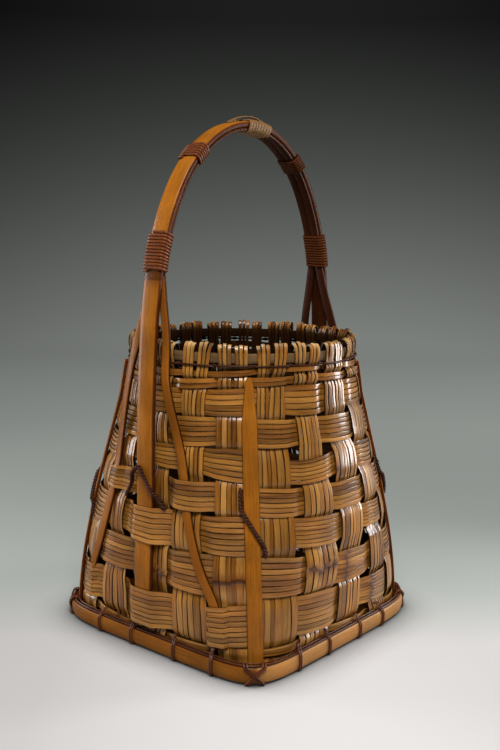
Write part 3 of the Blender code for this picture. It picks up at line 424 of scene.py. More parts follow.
class Piece:
    """Strands gathered into one mesh. Each point keeps where it lies along and across its strand."""

    def __init__(self):
        self.points = []
        self.faces = []
        self.grain = []
        self.marks = []
        self.shades = []
        self.count = 0

    def strand(
        self,
        points,
        outs,
        section,
        width,
        thick,
        tint=None,
        closed=False,
        roll=0.0,
        marks=1.0,
        shade=0.0,
    ):
        points = np.asarray(points, float)
        n, k = len(points), len(section)
        ahead = headings(points, closed)
        across = unit(np.cross(ahead, outs))
        out = np.cross(across, ahead)
        roll = np.broadcast_to(roll, (n,))[:, None]
        across, out = across * np.cos(roll) + out * np.sin(roll), out * np.cos(roll) - across * np.sin(roll)
        width = np.broadcast_to(width, (n,))[:, None, None]
        thick = np.broadcast_to(thick, (n,))[:, None, None]
        x, y = section[None, :, 0, None], section[None, :, 1, None]
        rings = points[:, None] + across[:, None] * x * width + out[:, None] * y * thick
        grain = np.empty((n, k, 3))
        grain[..., 0] = (distances(points) + rng.uniform(0, 9))[:, None]
        grain[..., 1] = 2 * section[None, :, 0]
        grain[..., 2] = rng.uniform(0, 1) if tint is None else tint
        mark = np.empty((n, k, 3))
        mark[..., 0] = np.broadcast_to(marks, (n,))[:, None]
        mark[..., 1] = section[None, :, 1] * 2
        mark[..., 2] = rng.uniform(0, 1)
        shades = np.repeat(np.broadcast_to(shade, (n,)), k)
        faces = [ring_faces(n, k, closed)]
        if not closed:
            faces += [np.arange(k)[::-1][None], np.arange((n - 1) * k, n * k)[None]]
        self.add(rings, faces, grain, mark, shades)

    def add(self, rings, faces, grain, marks, shades):
        self.faces += [block + self.count for block in faces]
        self.points.append(rings.reshape(-1, 3))
        self.grain.append(grain.reshape(-1, 3))
        self.marks.append(marks.reshape(-1, 3))
        self.shades.append(shades)
        self.count += len(self.points[-1])

    def make(self, name, finish, node, sharp=50, body="basket"):
        points = np.vstack(self.points)
        faces = [face for block in self.faces for face in block.tolist()]
        quads = np.array([face for face in faces if len(face) == 4])
        a, b, c, d = (points[quads[:, k]] for k in range(4))
        volume = (a * np.cross(b, c)).sum() + (a * np.cross(c, d)).sum()
        if volume < 0:
            faces = [face[::-1] for face in faces]
        mesh = bpy.data.meshes.new(name)
        mesh.from_pydata(points.tolist(), [], faces)
        for label, rows in (("grain", self.grain), ("marks", self.marks)):
            layer = mesh.attributes.new(label, "FLOAT_VECTOR", "POINT")
            layer.data.foreach_set("vector", np.vstack(rows).astype(np.float32).ravel())
        layer = mesh.attributes.new("shade", "FLOAT", "POINT")
        layer.data.foreach_set("value", np.concatenate(self.shades).astype(np.float32))
        mesh.shade_smooth()
        mesh.set_sharp_from_angle(angle=radians(sharp))
        mesh.materials.append(finish)
        obj = bpy.data.objects.new(name, mesh)
        bpy.context.scene.collection.objects.link(obj)
        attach(obj, body)
        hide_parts(node)


# Finishes


class Nodes:
    """A short way to add and join shader nodes."""

    def __init__(self, name):
        self.finish = bpy.data.materials.new(name)
        self.finish.use_nodes = True
        self.tree = self.finish.node_tree
        self.shader = self.tree.nodes["Principled BSDF"]

    def add(self, kind, **values):
        node = self.tree.nodes.new(kind)
        for key, value in values.items():
            setattr(node, key, value)
        return node

    def join(self, source, target):
        self.tree.links.new(source, target)

    def attribute(self, name):
        return self.add("ShaderNodeAttribute", attribute_name=name)

    def feed(self, socket, value):
        """Sets a socket to a number or a colour, or joins it to another node."""
        if isinstance(value, (int, float)):
            socket.default_value = value
        elif isinstance(value, tuple):
            socket.default_value = (*value, 1)
        else:
            self.join(value, socket)

    def feed_all(self, node, sockets, values):
        for socket, value in zip(sockets, values):
            self.feed(socket, value)
        return node

    def split(self, vector):
        node = self.add("ShaderNodeSeparateXYZ")
        self.join(vector, node.inputs[0])
        return node.outputs

    def math(self, operation, *values, clamp=False):
        node = self.add("ShaderNodeMath", operation=operation, use_clamp=clamp)
        return self.feed_all(node, node.inputs, values).outputs[0]

    def times(self, a, b):
        return self.math("MULTIPLY", a, b)

    def plus(self, a, b, clamp=False):
        return self.math("ADD", a, b, clamp=clamp)

    def less(self, a, b, clamp=False):
        return self.math("SUBTRACT", a, b, clamp=clamp)

    def centred(self, value, share):
        """A value about a half, as one about zero."""
        return self.times(self.less(value, 0.5), share)

    def vector(self, *values):
        node = self.add("ShaderNodeCombineXYZ")
        return self.feed_all(node, node.inputs, values).outputs[0]

    def noise(self, vector, scale=1.0, detail=2.0, rough=0.5):
        node = self.add("ShaderNodeTexNoise")
        node.inputs["Scale"].default_value = scale
        node.inputs["Detail"].default_value = detail
        node.inputs["Roughness"].default_value = rough
        self.join(vector, node.inputs["Vector"])
        return node.outputs["Fac"]

    def ramp(self, factor, stops):
        node = self.add("ShaderNodeValToRGB")
        ramp = node.color_ramp
        while len(ramp.elements) < len(stops):
            ramp.elements.new(0.5)
        for element, (place, colour) in zip(ramp.elements, stops):
            element.position = place
            element.color = (*colour, 1)
        self.join(factor, node.inputs[0])
        return node.outputs[0]

    def mix(self, factor, a, b):
        node = self.add("ShaderNodeMix", data_type="RGBA")
        sockets = (node.inputs[0], node.inputs[6], node.inputs[7])
        return self.feed_all(node, sockets, (factor, a, b)).outputs[2]

    def scale(self, colour, factor):
        node = self.add("ShaderNodeVectorMath", operation="SCALE")
        sockets = (node.inputs[0], node.inputs["Scale"])
        return self.feed_all(node, sockets, (colour, factor)).outputs[0]

    def span(self, value, low, high, to_low, to_high):
        node = self.add("ShaderNodeMapRange", clamp=True)
        self.join(value, node.inputs["Value"])
        for label, number in (("From Min", low), ("From Max", high), ("To Min", to_low), ("To Max", to_high)):
            node.inputs[label].default_value = number
        return node.outputs["Result"]

    def bump(self, height, strength, distance):
        node = self.add("ShaderNodeBump")
        node.inputs["Strength"].default_value = strength
        node.inputs["Distance"].default_value = distance
        self.join(height, node.inputs["Height"])
        self.join(node.outputs[0], self.shader.inputs["Normal"])


def bamboo(
    name,
    dark,
    middle,
    light,
    rough=0.34,
    coat=0.35,
    spec=0.1,
    fibre=1.0,
    edge=0.5,
    narrow=20.0,
    tint_share=0.55,
    flank=None,
    sides=(-0.9, 0.3, 0.75),
    olive=None,
    specks=0.0,
):
    """Split bamboo: streaks along the strip, patches, dark edges, a dark band at each joint, and painted
    light and shade from the shade attribute.
    """
    n = Nodes(name)
    flank = flank or dark
    along, across, tint = n.split(n.attribute("grain").outputs["Vector"])
    joint, rise, other = n.split(n.attribute("marks").outputs["Vector"])
    shade = n.attribute("shade").outputs["Fac"]
    position = n.add("ShaderNodeNewGeometry").outputs["Position"]

    # Fibres: streaks, patches and fine lines, each drawn out along the strip
    shift = n.times(tint, 37.0)
    streaks = n.noise(n.vector(n.times(along, 35.0), n.times(across, 5.0 * fibre), shift), 1.0, 3.0, 0.6)
    patches = n.noise(n.vector(n.times(along, 18.0), n.times(across, 0.5), shift))
    fine = n.noise(n.vector(n.times(along, 130.0), n.times(across, 22.0 * fibre), shift), 1.0, 2.0, 0.6)
    level = n.plus(n.centred(tint, tint_share), n.centred(streaks, 1.1))
    level = n.plus(level, n.centred(patches, 0.7))
    level = n.plus(level, n.centred(fine, 0.5))
    level = n.plus(level, 0.5, clamp=True)
    colour = n.ramp(level, ((0.08, dark), (0.5, middle), (0.92, light)))
    if olive:
        greener = n.ramp(level, ((0.08, dark), (0.5, olive), (0.92, light)))
        colour = n.mix(n.span(other, 0.3, 1.0, 0.0, 1.0), colour, greener)

    # Edges and flanks. With SHADOWED as the flank colour, the dark edges and dark back faces are painted
    # shade, in the grooves between splints and on faces turned into the basket
    side = n.math("POWER", n.math("ABSOLUTE", across), narrow)
    colour = n.mix(n.times(side, edge), colour, flank)
    under = n.span(rise, sides[0], sides[1], sides[2], 0.0)
    colour = n.mix(under, colour, flank)

    # Joints of the culm
    band = n.span(joint, *BAND_REACH, 0.75, 0.0)
    stain = n.times(n.span(joint, *STAIN_REACH, 0.75, 0.0), n.plus(streaks, 0.3))
    colour = n.mix(band, n.mix(stain, colour, JOINT_STAIN), JOINT_BAND)

    # Dark fine lines, specks and large patches, then painted light and painted shade
    colour = n.scale(colour, n.span(fine, 0.26, 0.37, 0.6, 1.0))
    if specks:
        spots = n.span(n.noise(position, 420.0, 1.0), 0.66, 0.74, 0.0, specks)
        colour = n.mix(spots, colour, dark)
    colour = n.scale(colour, n.span(n.noise(position, 24.0, 2.0), 0.32, 0.68, 0.7, 1.13))
    colour = n.mix(n.span(shade, -1.0, 0.0, 1.0, 0.0), colour, PAINTED_LIGHT)
    painted_shade = n.math("MAXIMUM", shade, 0.0)
    n.join(n.mix(painted_shade, colour, SHADOWED), n.shader.inputs["Base Color"])

    # Lacquer, which is dull on the flanks and in the shade
    dull = n.math("MAXIMUM", painted_shade, under)
    n.join(n.span(streaks, 0.3, 0.7, rough - 0.06, rough + 0.1), n.shader.inputs["Roughness"])
    n.join(n.span(dull, 0.0, 1.0, coat, 0.0), n.shader.inputs["Coat Weight"])
    n.shader.inputs["Coat Roughness"].default_value = 0.16
    n.join(n.span(dull, 0.0, 1.0, spec, 0.03), n.shader.inputs["Specular IOR Level"])
    n.bump(n.plus(n.times(streaks, 0.7), n.times(fine, 0.4)), 0.35, 0.4 * MM)
    return n.finish


def cane(name, dark, light, rough=0.36, coat=0.12, spec=0.15):
    """Rattan and cord: round strands with fine lengthwise fibres."""
    n = Nodes(name)
    along, across, tint = n.split(n.attribute("grain").outputs["Vector"])
    rise = n.split(n.attribute("marks").outputs["Vector"])[1]
    shade = n.attribute("shade").outputs["Fac"]
    shift = n.times(tint, 29.0)
    around = n.plus(shift, n.times(rise, 3.0))
    fibres = n.noise(n.vector(n.times(along, 70.0), n.times(across, 4.0), around), 1.0, 3.0, 0.6)
    patches = n.noise(n.vector(n.times(along, 30.0), 0.0, shift))
    level = n.plus(n.times(fibres, 0.8), n.times(patches, 0.6))
    level = n.less(n.plus(level, n.times(tint, 0.3)), 0.35, clamp=True)
    colour = n.ramp(level, ((0.1, dark), (0.9, light)))
    # Painted shade where the shade attribute is set, with less lacquer there
    n.join(n.mix(shade, colour, SHADOWED), n.shader.inputs["Base Color"])
    n.join(n.span(fibres, 0.3, 0.7, rough - 0.06, rough + 0.12), n.shader.inputs["Roughness"])
    n.join(n.span(shade, 0.0, 0.6, coat, 0.0), n.shader.inputs["Coat Weight"])
    n.shader.inputs["Coat Roughness"].default_value = 0.15
    n.join(n.span(shade, 0.0, 0.6, spec, 0.03), n.shader.inputs["Specular IOR Level"])
    n.bump(fibres, 0.5, 0.3 * MM)
    return n.finish


splint_finish = bamboo(
    "splint_bamboo",
    (0.085, 0.025, 0.004),
    (0.33, 0.118, 0.015),
    (0.50, 0.225, 0.042),
    rough=0.3,
    edge=0.9,
    narrow=16.0,
    coat=0.52,
    tint_share=0.55,
    flank=SHADOWED,
    olive=(0.27, 0.112, 0.016),
    sides=(-0.7, 0.35, 0.95),
)
stake_finish = bamboo(
    "stake_bamboo",
    (0.085, 0.026, 0.004),
    (0.32, 0.115, 0.015),
    (0.48, 0.23, 0.052),
    rough=0.3,
    edge=1.0,
    narrow=12.0,
    coat=0.52,
    tint_share=0.6,
    flank=SHADOWED,
    olive=(0.26, 0.108, 0.017),
    sides=(-0.7, 0.35, 0.95),
)
post_finish = bamboo(
    "strip_bamboo",
    (0.20, 0.058, 0.005),
    (0.30, 0.098, 0.008),
    (0.39, 0.15, 0.017),
    rough=0.3,
    coat=0.1,
    spec=0.06,
    specks=0.7,
    fibre=2.4,
    tint_share=0.1,
    flank=RED_FLANK,
    sides=(0.5, 0.85, 1.0),
)
thin_finish = bamboo(
    "thin_strip_bamboo",
    (0.17, 0.047, 0.005),
    (0.26, 0.080, 0.008),
    (0.35, 0.125, 0.015),
    rough=0.3,
    coat=0.05,
    spec=0.05,
    fibre=2.4,
    tint_share=0.1,
    flank=(0.045, 0.010, 0.003),
    sides=(0.5, 0.85, 1.0),
)
hoop_finish = bamboo(
    "hoop_bamboo",
    (0.06, 0.03, 0.012),
    (0.145, 0.078, 0.030),
    (0.24, 0.14, 0.06),
    rough=0.5,
    coat=0.05,
    fibre=3.0,
    tint_share=0.1,
    flank=SHADOWED,
    sides=(-0.9, 0.5, 1.0),
)
rattan_finish = cane("rattan", (0.035, 0.008, 0.003), (0.24, 0.062, 0.012))
pale_finish = cane("pale_cane", (0.085, 0.036, 0.011), (0.28, 0.145, 0.05), coat=0.05, spec=0.08)
cord_finish = cane("dark_cord", (0.012, 0.004, 0.002), (0.075, 0.023, 0.009), coat=0.06, spec=0.07)
tie_finish = cane("tie_cane", (0.020, 0.006, 0.002), (0.13, 0.032, 0.009), coat=0.15, spec=0.12)
tube_finish = bamboo(
    "stained_bamboo",
    (0.03, 0.015, 0.008),
    (0.08, 0.04, 0.018),
    (0.13, 0.07, 0.03),
    rough=0.4,
    coat=0.2,
    fibre=6.0,
    tint_share=0.1,
    edge=0.0,
)


# Weave


def weft_outside(stake, row):
    return (stake + row) % 2 == 0


def slow_noise(t, seed, scale):
    """A smooth wander between about -1 and 1."""
    r = np.random.default_rng(seed)
    total = np.zeros_like(t)
    for k in range(1, 5):
        total += r.normal() * np.sin(t * k * scale + r.uniform(0, 2 * pi)) / k**0.5
    return total / 1.8


def from_front(place):
    """The same place counted from the front corner, between -10 and 10."""
    return (place + STAKES / 2) % STAKES - STAKES / 2


def row_edges(row, place):
    """Lower and upper edge of a row at each place, where it strays from level too."""
    around = from_front(np.asarray(place, float))
    table = np.array(((-STRAYS_END, 0, 0), *ROW_STRAYS[row], (STRAYS_END, 0, 0)))
    behind = STRAY_BEHIND * np.clip(np.abs(around) - BEHIND_FROM, 0, 1)
    asides = np.linspace(-0.45, 0.45, 7)
    edges = []
    for edge, column, seed in ((0, 2, 1800), (1, 1, 1700)):
        stray = sum(np.interp(around + aside, table[:, 0], table[:, column]) for aside in asides)
        wander = behind * slow_noise(around * pi / 10, seed + row, 2.0)
        edges.append(ROWS[row - 1][edge] + stray / len(asides) * MM + wander)
    return edges


def stake_edges(stake, height):
    """Left and right edge of a stake at each height, as places."""
    stake = stake % STAKES
    height = np.asarray(height, float)
    if stake in STAKE_LEAN_SHARES:
        table = np.array(STAKE_LEAN_SHARES[stake])
        levels = ROWS[table[:, 0].astype(int) - 1].mean(1)[::-1]
        left, right = (np.interp(height, levels, table[::-1, column]) for column in (1, 2))
    else:
        left = STAKE_EDGE + STAKE_WANDER * slow_noise(height * 14, 1900 + stake, 1.0)
        right = 1 - STAKE_EDGE + STAKE_WANDER * slow_noise(height * 14, 1950 + stake, 1.0)
    return stake + left, stake + right


def cell_bounds(row):
    """Places where a row crosses the gaps between stakes."""
    height = ROWS[row - 1].mean()
    bounds = []
    for stake in range(STAKES + 1):
        before = float(stake_edges(stake - 1, height)[1]) - (STAKES if stake == 0 else 0)
        after = float(stake_edges(stake, height)[0]) + (STAKES if stake == STAKES else 0)
        bounds.append((before + after) / 2)
    return np.array(bounds)


def cell_swing(place, row):
    """+1 where this weft runs outside, -1 inside, with smooth turns between, and a pillow in each cell."""
    bounds = cell_bounds(row)
    around = (place - bounds[0]) % STAKES + bounds[0]
    cell = np.clip(np.searchsorted(bounds, around, side="right") - 1, 0, STAKES - 1)
    t = (around - bounds[cell]) / (bounds[cell + 1] - bounds[cell])
    sign = np.where(weft_outside(cell, row), 1.0, -1.0)
    turn = np.sin(np.clip(np.minimum(t, 1 - t) / TURN_SHARE, 0, 1) * pi / 2)
    return sign * turn, sign * 4 * t * (1 - t)


def thicker(marks):
    """A splint's thickness, which swells at its joint."""
    return SPLINT * (1 + 0.5 * np.exp(-((marks / (2 * MM)) ** 2)))


def joint_distance(points, joint, spread, seed):
    """Distance along a strand from its joint, which is the point nearest to the one given."""
    along = distances(points)
    nearest = int(np.argmin(np.linalg.norm(points - joint, axis=1)))
    return np.abs(along - along[nearest] - spread * np.random.default_rng(seed).normal())


def face_places(foot, heights):
    places = [p for p, _, _ in foot]
    shares = [s * MOUTH for _, s, _ in foot]
    return np.interp(heights, shares, places)


def leg_face(height):
    """How far out the handle's outer face stands at this height."""
    return float(np.interp(height, LEG[:, 2], -LEG[:, 0]))


def handle_route(steps):
    left = [(-x * HALF_SPAN, 0, z * ARCH) for x, z in ARCH_SHARES]
    right = [(-x, 0, z) for x, _, z in reversed(left[:-1])]
    return smooth_curve(np.array(left + right), steps)


LEG = handle_route(8)[: 8 * 9]


def tucks():
    """Where a weft passes over a strip of the handle: its middle, half span, stand-off and reach."""
    found = {row: [] for row in range(1, 11)}
    over_thin = STAND_OFF + STRIP_THICK / 2 + 2 * SEAT + SPLINT / 2
    for face in (1, 3):
        centre = face * PER_SIDE + PER_SIDE / 2
        for row in (7, 9):
            low, high = ROWS[row - 1]
            span = (HANDLE_WIDTH / 2 + SEAT) / pitch_at(low)
            stand = max(leg_face(h) - half_width(h) for h in (low, high))
            found[row].append((centre, span, stand + SEAT + SPLINT / 2, 0.5))
        for foot in (WIDE_FOOT, NARROW_FOOT):
            for row in (6, 9):
                low, high = ROWS[row - 1]
                a, b = face_places(foot, [low, high])
                middle = centre + (a + b) / 2
                span = abs(a - b) / 2 + 0.5 * STRIP_WIDTH / pitch_at(low)
                reach = 0.5 - abs(middle - np.floor(middle) - 0.5)
                found[row].append((middle, span, over_thin, reach))
    return found


TUCKS = tucks()


def eased(t):
    """From 0 to 1, with a smooth start and end."""
    return t * t * (3 - 2 * t)


def weft_path(row, share, seed):
    """Places, heights and offsets of one splint, share of the way up its row, and the row's height there."""
    start = 10.5 + ((row + 1) % 2) + 0.04 * (seed % 5)
    place = start + np.linspace(0, STAKES - 0.05, STAKES * 14)
    low, high = row_edges(row, place)
    turn, pillow = cell_swing(place, row)
    spread = 1 + 0.035 * pillow
    height = (low + high) / 2 + (share - 0.5) * (high - low) * spread
    height = height + 0.08 * MM * slow_noise(place, seed, 1.3)
    offset = SWING * turn + np.where(pillow > 0, PILLOW, INNER_PILLOW) * pillow
    offset = offset + CROWN * (1 - (2 * share - 1) ** 2) * np.maximum(pillow, 0)
    for centre, span, stand, reach in TUCKS[row]:
        away = np.abs(from_front(place - centre))
        rise = eased(np.clip((reach + 0.04 - away) / max(reach + 0.04 - span, 0.05), 0, 1))
        offset = np.maximum(offset, offset + (stand - offset) * rise)
    offset = offset + 0.12 * MM * slow_noise(place, seed + 50, 2.1)
    return place, height, offset, high - low


def make_weft(row):
    piece = Piece()
    count = ROW_SPLINTS[row - 1]
    for k in range(count):
        seed = 100 * row + k
        place, height, offset, tall = weft_path(row, (k + 0.5) / count, seed)
        points = wall(place, height, offset)
        r = np.random.default_rng(seed)
        marks = 1.0
        for joint in WEFT_JOINTS.get(row, ()) + (7.0 + 6 * r.uniform(),):
            at = wall(joint, height.mean(), 2 * MM)
            marks = np.minimum(marks, joint_distance(points, at, 1.2 * MM, seed))
        wander = 0.02 * slow_noise(place, seed + 7, 0.7)
        piece.strand(
            points,
            plan_out(place, height),
            SPLINT_SECTION,
            tall / count * (1 - r.uniform(*GROOVE_SHARES) + wander),
            thicker(marks),
            tint=r.uniform(0.05, 0.95),
            roll=radians(3) * slow_noise(place, seed + 9, 1.7),
            marks=marks,
        )
    name = f"weft_{row:02d}"
    piece.make(f"splints_{name}", splint_finish, name, sharp=30)


def stake_rows(stake):
    """Lower and upper edge of each row where this stake crosses it, from the top row down."""
    return [tuple(float(edge) for edge in row_edges(row, stake + 0.5)) for row in range(1, 11)]


def stake_swing(height, stake):
    """+1 where the stake runs outside, with smooth turns in the gaps between rows, and a pillow."""
    rows = stake_rows(stake)
    sign = np.ones_like(height)
    pillow = np.zeros_like(height)
    for row in range(1, 11):
        low, high = rows[row - 1]
        below = rows[row][1] if row < 10 else low - ROW_GAP
        above = rows[row - 2][0] if row > 1 else high + ROW_GAP
        bottom, top = (low + below) / 2, (high + above) / 2
        inside = (height >= bottom) & (height < top)
        value = -1.0 if weft_outside(stake, row) else 1.0
        t = np.clip((height - bottom) / (top - bottom), 0, 1)
        near = np.minimum(t, 1 - t) * (top - bottom)
        turn = np.sin(np.clip(near / STAKE_TURN, 0, 1) * pi / 2)
        sign = np.where(inside, value * turn, sign)
        pillow = np.where(inside, value * 4 * t * (1 - t), pillow)
    return sign, pillow


def stake_heights(stake):
    rows = stake_rows(stake)
    heights = [min(rows[9][0], 12 * MM) - 2 * MM]
    for row in range(10, 0, -1):
        low, high = rows[row - 1]
        steps = 3 if row < 3 else 8
        heights += list(np.linspace(low, high, steps, endpoint=False) + (high - low) / steps / 2)
        if row > 1:
            heights.append((high + rows[row - 2][0]) / 2)
    return np.array(heights + [MOUTH - 2 * MM])


def splint_shares(stake):
    """Edges of a stake's splints across it, which are of uneven widths."""
    r = np.random.default_rng(4000 + stake)
    widths = np.clip(1 + 0.28 * r.normal(size=STAKE_SPLINTS), 0.55, 1.6)
    return np.concatenate([[0], np.cumsum(widths)]) / widths.sum()


def stake_foot(stake, place):
    """A splint's foot, which folds in under the floor: its points and which way they face."""
    inwards, up, tilt = np.array(FOOT_FOLD).T
    place = np.full(len(up), place)
    height = FOOT_LEVELS[(stake // PER_SIDE) % 2] + up * MM
    tilt = np.radians(tilt)[:, None]
    outs = plan_out(place, height) * np.cos(tilt) - np.array((0, 0, 1.0)) * np.sin(tilt)
    return wall(place, height, -inwards * MM), outs


def stake_loop(stake, k, place, r):
    """A splint's loop over the rim hoop, up outside and down inside, and which way its points face."""
    half, third = divmod(k, 3)
    higher, fan, lean = LOOPS[stake, half]
    rise = LOOP_RISE + higher + (0.7 if third == 1 else 0.0) * MM + r.normal(0, 0.35) * MM
    top = HOOP_BOTTOM + HOOP_HEIGHT + SEAT
    outer, inner = LOOP_OUTER, LOOP_INNER
    bow = 0.6 * MM + 0.4 * MM * r.normal()
    tail = MOUTH - 10 * MM - r.uniform(0, 12 * MM)
    arch = top + rise * np.sin(LOOP_TURN)
    height = np.concatenate([[MOUTH + 3 * MM, top - 4 * MM], arch, [top - 5 * MM, MOUTH - 4 * MM, tail]])
    across = (outer + inner) / 2 + ((outer - inner) / 2 + bow) * np.cos(LOOP_TURN)
    offset = np.concatenate([[outer, outer + bow], across, [inner, inner + 0.6 * MM, inner + 1 * MM]])
    swerve = np.concatenate([[0.1, 0.5], np.sin(LOOP_TURN) * 0.6 + 0.6, [0.4, 0.2, 0.0]])
    place = place + ((third - 1) * fan + lean) * swerve
    slope = np.concatenate([[0, 0], LOOP_TURN, [pi, pi, pi]])[:, None]
    outs = plan_out(place, height) * np.cos(slope) + np.array((0, 0, 1.0)) * np.sin(slope)
    return wall(place, height, offset), outs


def stake_path(stake, k):
    """A splint of a stake, from its folded foot up the wall, over the rim hoop and down inside."""
    seed = 5000 + 10 * stake + k
    r = np.random.default_rng(seed)
    height = stake_heights(stake)
    joint = STAKE_JOINTS.get(stake, -1.0) + r.normal(0, 1.2) * MM
    if joint > 0:
        height = np.sort(np.append(height, joint + np.linspace(-4, 4, 9) * MM))
    low, high = stake_edges(stake, height)
    before, after = splint_shares(stake)[k : k + 2]
    place = low + (high - low) * (before + after) / 2 + 0.008 * slow_noise(height * 25, seed, 1.0)
    if stake in KINKED:
        for kink, sway in ((KINK, KINK_SWAY), (-KINK, -KINK_SWAY)):
            place = place + sway * np.exp(-(((height - joint - kink) / KINK_REACH) ** 2))
    edge = stake + (LOOP_EDGE if k < 3 else 1 - LOOP_EDGE - LOOP_SHARE)
    loop = edge + LOOP_SHARE * (k % 3 + 0.5) / 3
    gather = np.clip((height - ROWS[2][0]) / (MOUTH - ROWS[2][0]), 0, 1)
    place = place + (loop - place) * gather**1.5
    swing, pillow = stake_swing(height, stake)
    offset = SWING * swing + np.where(pillow > 0, STAKE_PILLOW, INNER_STAKE_PILLOW) * pillow
    offset = offset + 0.15 * MM * slow_noise(height * 40, seed + 3, 1.0)

    foot_points, foot_outs = stake_foot(stake, place[0])
    loop_points, loop_outs = stake_loop(stake, k, loop, r)
    points = np.vstack([foot_points, wall(place, height, offset), loop_points])
    outs = np.vstack([foot_outs, plan_out(place, height), loop_outs])
    foot, over = len(foot_points), len(loop_points)
    width = (high - low) * pitch_at(height) * (after - before)
    loop_width = LOOP_SHARE * pitch_at(MOUTH) / 3
    narrowed = width + (loop_width - width) * gather
    width = np.concatenate([np.full(foot, width[0]), narrowed, np.full(over, loop_width)])
    width = width * (1 - r.uniform(*STAKE_GROOVE_SHARES))
    roll = np.zeros(len(points))
    roll[foot:-over] = radians(5) * slow_noise(height * 30, seed + 4, 1.0)
    # Painted highlight on the loops' tops, and painted shade on their tails inside the basket
    shade = np.zeros(len(points))
    painted_highlight = r.uniform(0.1, 0.75) * np.exp(-(((LOOP_TURN - 1.15) / 0.5) ** 2))
    inside = np.clip((LOOP_TURN - 2.2) / 0.9, 0, 0.92)
    shade[-over:] = np.concatenate([[0, 0], inside - painted_highlight * (inside < 0.1), [0.97, 0.97, 0.97]])
    return points, outs, width, roll, shade


def make_stake(stake):
    piece = Piece()
    for k in range(STAKE_SPLINTS):
        seed = 8000 + 10 * stake + k
        points, outs, width, roll, shade = stake_path(stake, k)
        r = np.random.default_rng(seed)
        random_joint = 0.03 + 0.2 * r.uniform() + (0.3 if r.uniform() < 0.75 else 0)
        at = wall(stake + 0.5, STAKE_JOINTS.get(stake, random_joint), 2 * MM)
        marks = joint_distance(points, at, 1.6 * MM, seed)
        tint = r.uniform(0.1, 1.0)
        # Painted shade on the first stake's splints below the mouth
        if stake == 0:
            shade = np.where(points[:, 2] < MOUTH, np.maximum(shade, 0.22), shade)
        piece.strand(points, outs, SPLINT_SECTION, width, thicker(marks), tint, False, roll, marks, shade)
    name = f"stake_{stake + 1:02d}"
    piece.make(f"splints_{name}", stake_finish, name, sharp=30)


# Rim


def make_hoop():
    piece = Piece()
    place = np.linspace(0, STAKES, 200, endpoint=False)
    middle = HOOP_BOTTOM + HOOP_HEIGHT / 2
    points = wall(place, middle, SEAT - HOOP_THICK / 2)
    section = bar_section(HOOP_HEIGHT, HOOP_THICK, 0.9 * MM, 0.25 * MM)
    piece.strand(points, plan_out(place, middle), section, HOOP_HEIGHT, HOOP_THICK, tint=0.5, closed=True)
    piece.make("rim_hoop_strip", hoop_finish, "rim_hoop")


def make_twine(strand):
    piece = Piece()
    place = np.linspace(0, STAKES, STAKES * 10, endpoint=False)
    cell = np.floor(place).astype(int)
    t = place - cell
    sign = np.where((cell + strand) % 2 == 0, 1.0, -1.0)
    turn = np.sin(np.clip(np.minimum(t, 1 - t) / 0.14, 0, 1) * pi / 2)
    offset = (TWINE_OUTER + TWINE_INNER) / 2 + (TWINE_OUTER - TWINE_INNER) / 2 * sign * turn
    lift = 0.85 * MM * np.cos(pi * place + pi * strand) * (1 - turn) + 0.35 * MM * slow_noise(place, 40, 1.7)
    points = wall(place, MOUTH + lift, offset)
    piece.strand(points, plan_out(place, MOUTH), round_section(8), TWINE, TWINE, tint=0.4, closed=True)
    letter = "ab"[strand]
    piece.make(f"rim_twine_strand_{letter}", cord_finish, f"rim_twine_{letter}", sharp=80)


# Floor of the basket


def make_mat():
    piece = Piece()
    count = int(MAT_REACH // MAT_STEP)
    for axis in (0, 1):
        for k in range(-count, count + 1):
            at = k * MAT_STEP
            limit = min(MAT_REACH, sqrt(max((MAT_REACH * 1.17) ** 2 - at**2, 1e-6)))
            run = np.arange(-limit, limit, MAT_STEP / 3)
            weave = 0.35 * MM * np.cos(pi * (run / MAT_STEP)) * (1 if k % 2 else -1) * (1 if axis else -1)
            points = np.zeros((len(run), 3))
            points[:, axis] = run
            points[:, 1 - axis] = at
            points[:, 2] = MAT_LEVEL + weave
            outs = np.tile((0, 0, 1.0), (len(run), 1))
            # Painted shade on the floor weave inside the basket
            piece.strand(points, outs, SPLINT_SECTION, MAT_STEP * 0.93, MAT_THICK, shade=0.5)
    piece.make("floor_weave", splint_finish, "floor_mat")


# Posts


def post_point(corner, side, height, out):
    """A point of a corner post, to its side and out from the wall."""
    height = np.asarray(height, float)
    share = (height - POST_BOTTOM) / (POST_TOP - POST_BOTTOM)
    first = corner * PER_SIDE
    normal = plan_out(first, height)
    across = np.stack([-normal[..., 1], normal[..., 0], np.zeros_like(height)], -1)
    lean = (POST_LEAN[0] + (POST_LEAN[1] - POST_LEAN[0]) * share) * pitch_at(height)
    return plan(first, height) + across * (side + lean)[..., None] + normal * np.asarray(out)[..., None]


CORNERS = ("front", "right", "back", "left")


def make_post(corner):
    piece = Piece()
    share = np.concatenate([np.linspace(0, POST_TIP_FROM, 46), (0.98, 0.988, 0.995, 1.0)])
    height = POST_BOTTOM + (POST_TOP - POST_BOTTOM) * share
    taper = np.clip((share - POST_TAPER) / (1 - POST_TAPER), 0, 1)
    rounding = np.sqrt(np.clip(1 - ((share - POST_TIP_FROM) / 0.034) ** 2, 0.05, 1))
    width = POST_WIDTH + (POST_TIP - POST_WIDTH) * taper
    width = width * np.where(share > POST_TIP_FROM, rounding, 1)
    width = width * (1 + 0.012 * slow_noise(height * 30, 60 + corner, 1.0))
    points = post_point(corner, 0.0, height, np.full_like(height, SKIN + SEAT + POST_THICK / 2))
    outs = plan_out(corner * PER_SIDE, height)
    section = bar_section(POST_WIDTH, POST_THICK, 0.9 * MM, 0.55 * MM)
    piece.strand(points, outs, section, width, POST_THICK, tint=0.45 + 0.1 * corner / 3)
    name = CORNERS[corner]
    piece.make(f"post_{name}", post_finish, f"corner_post_{name}")


# Rail


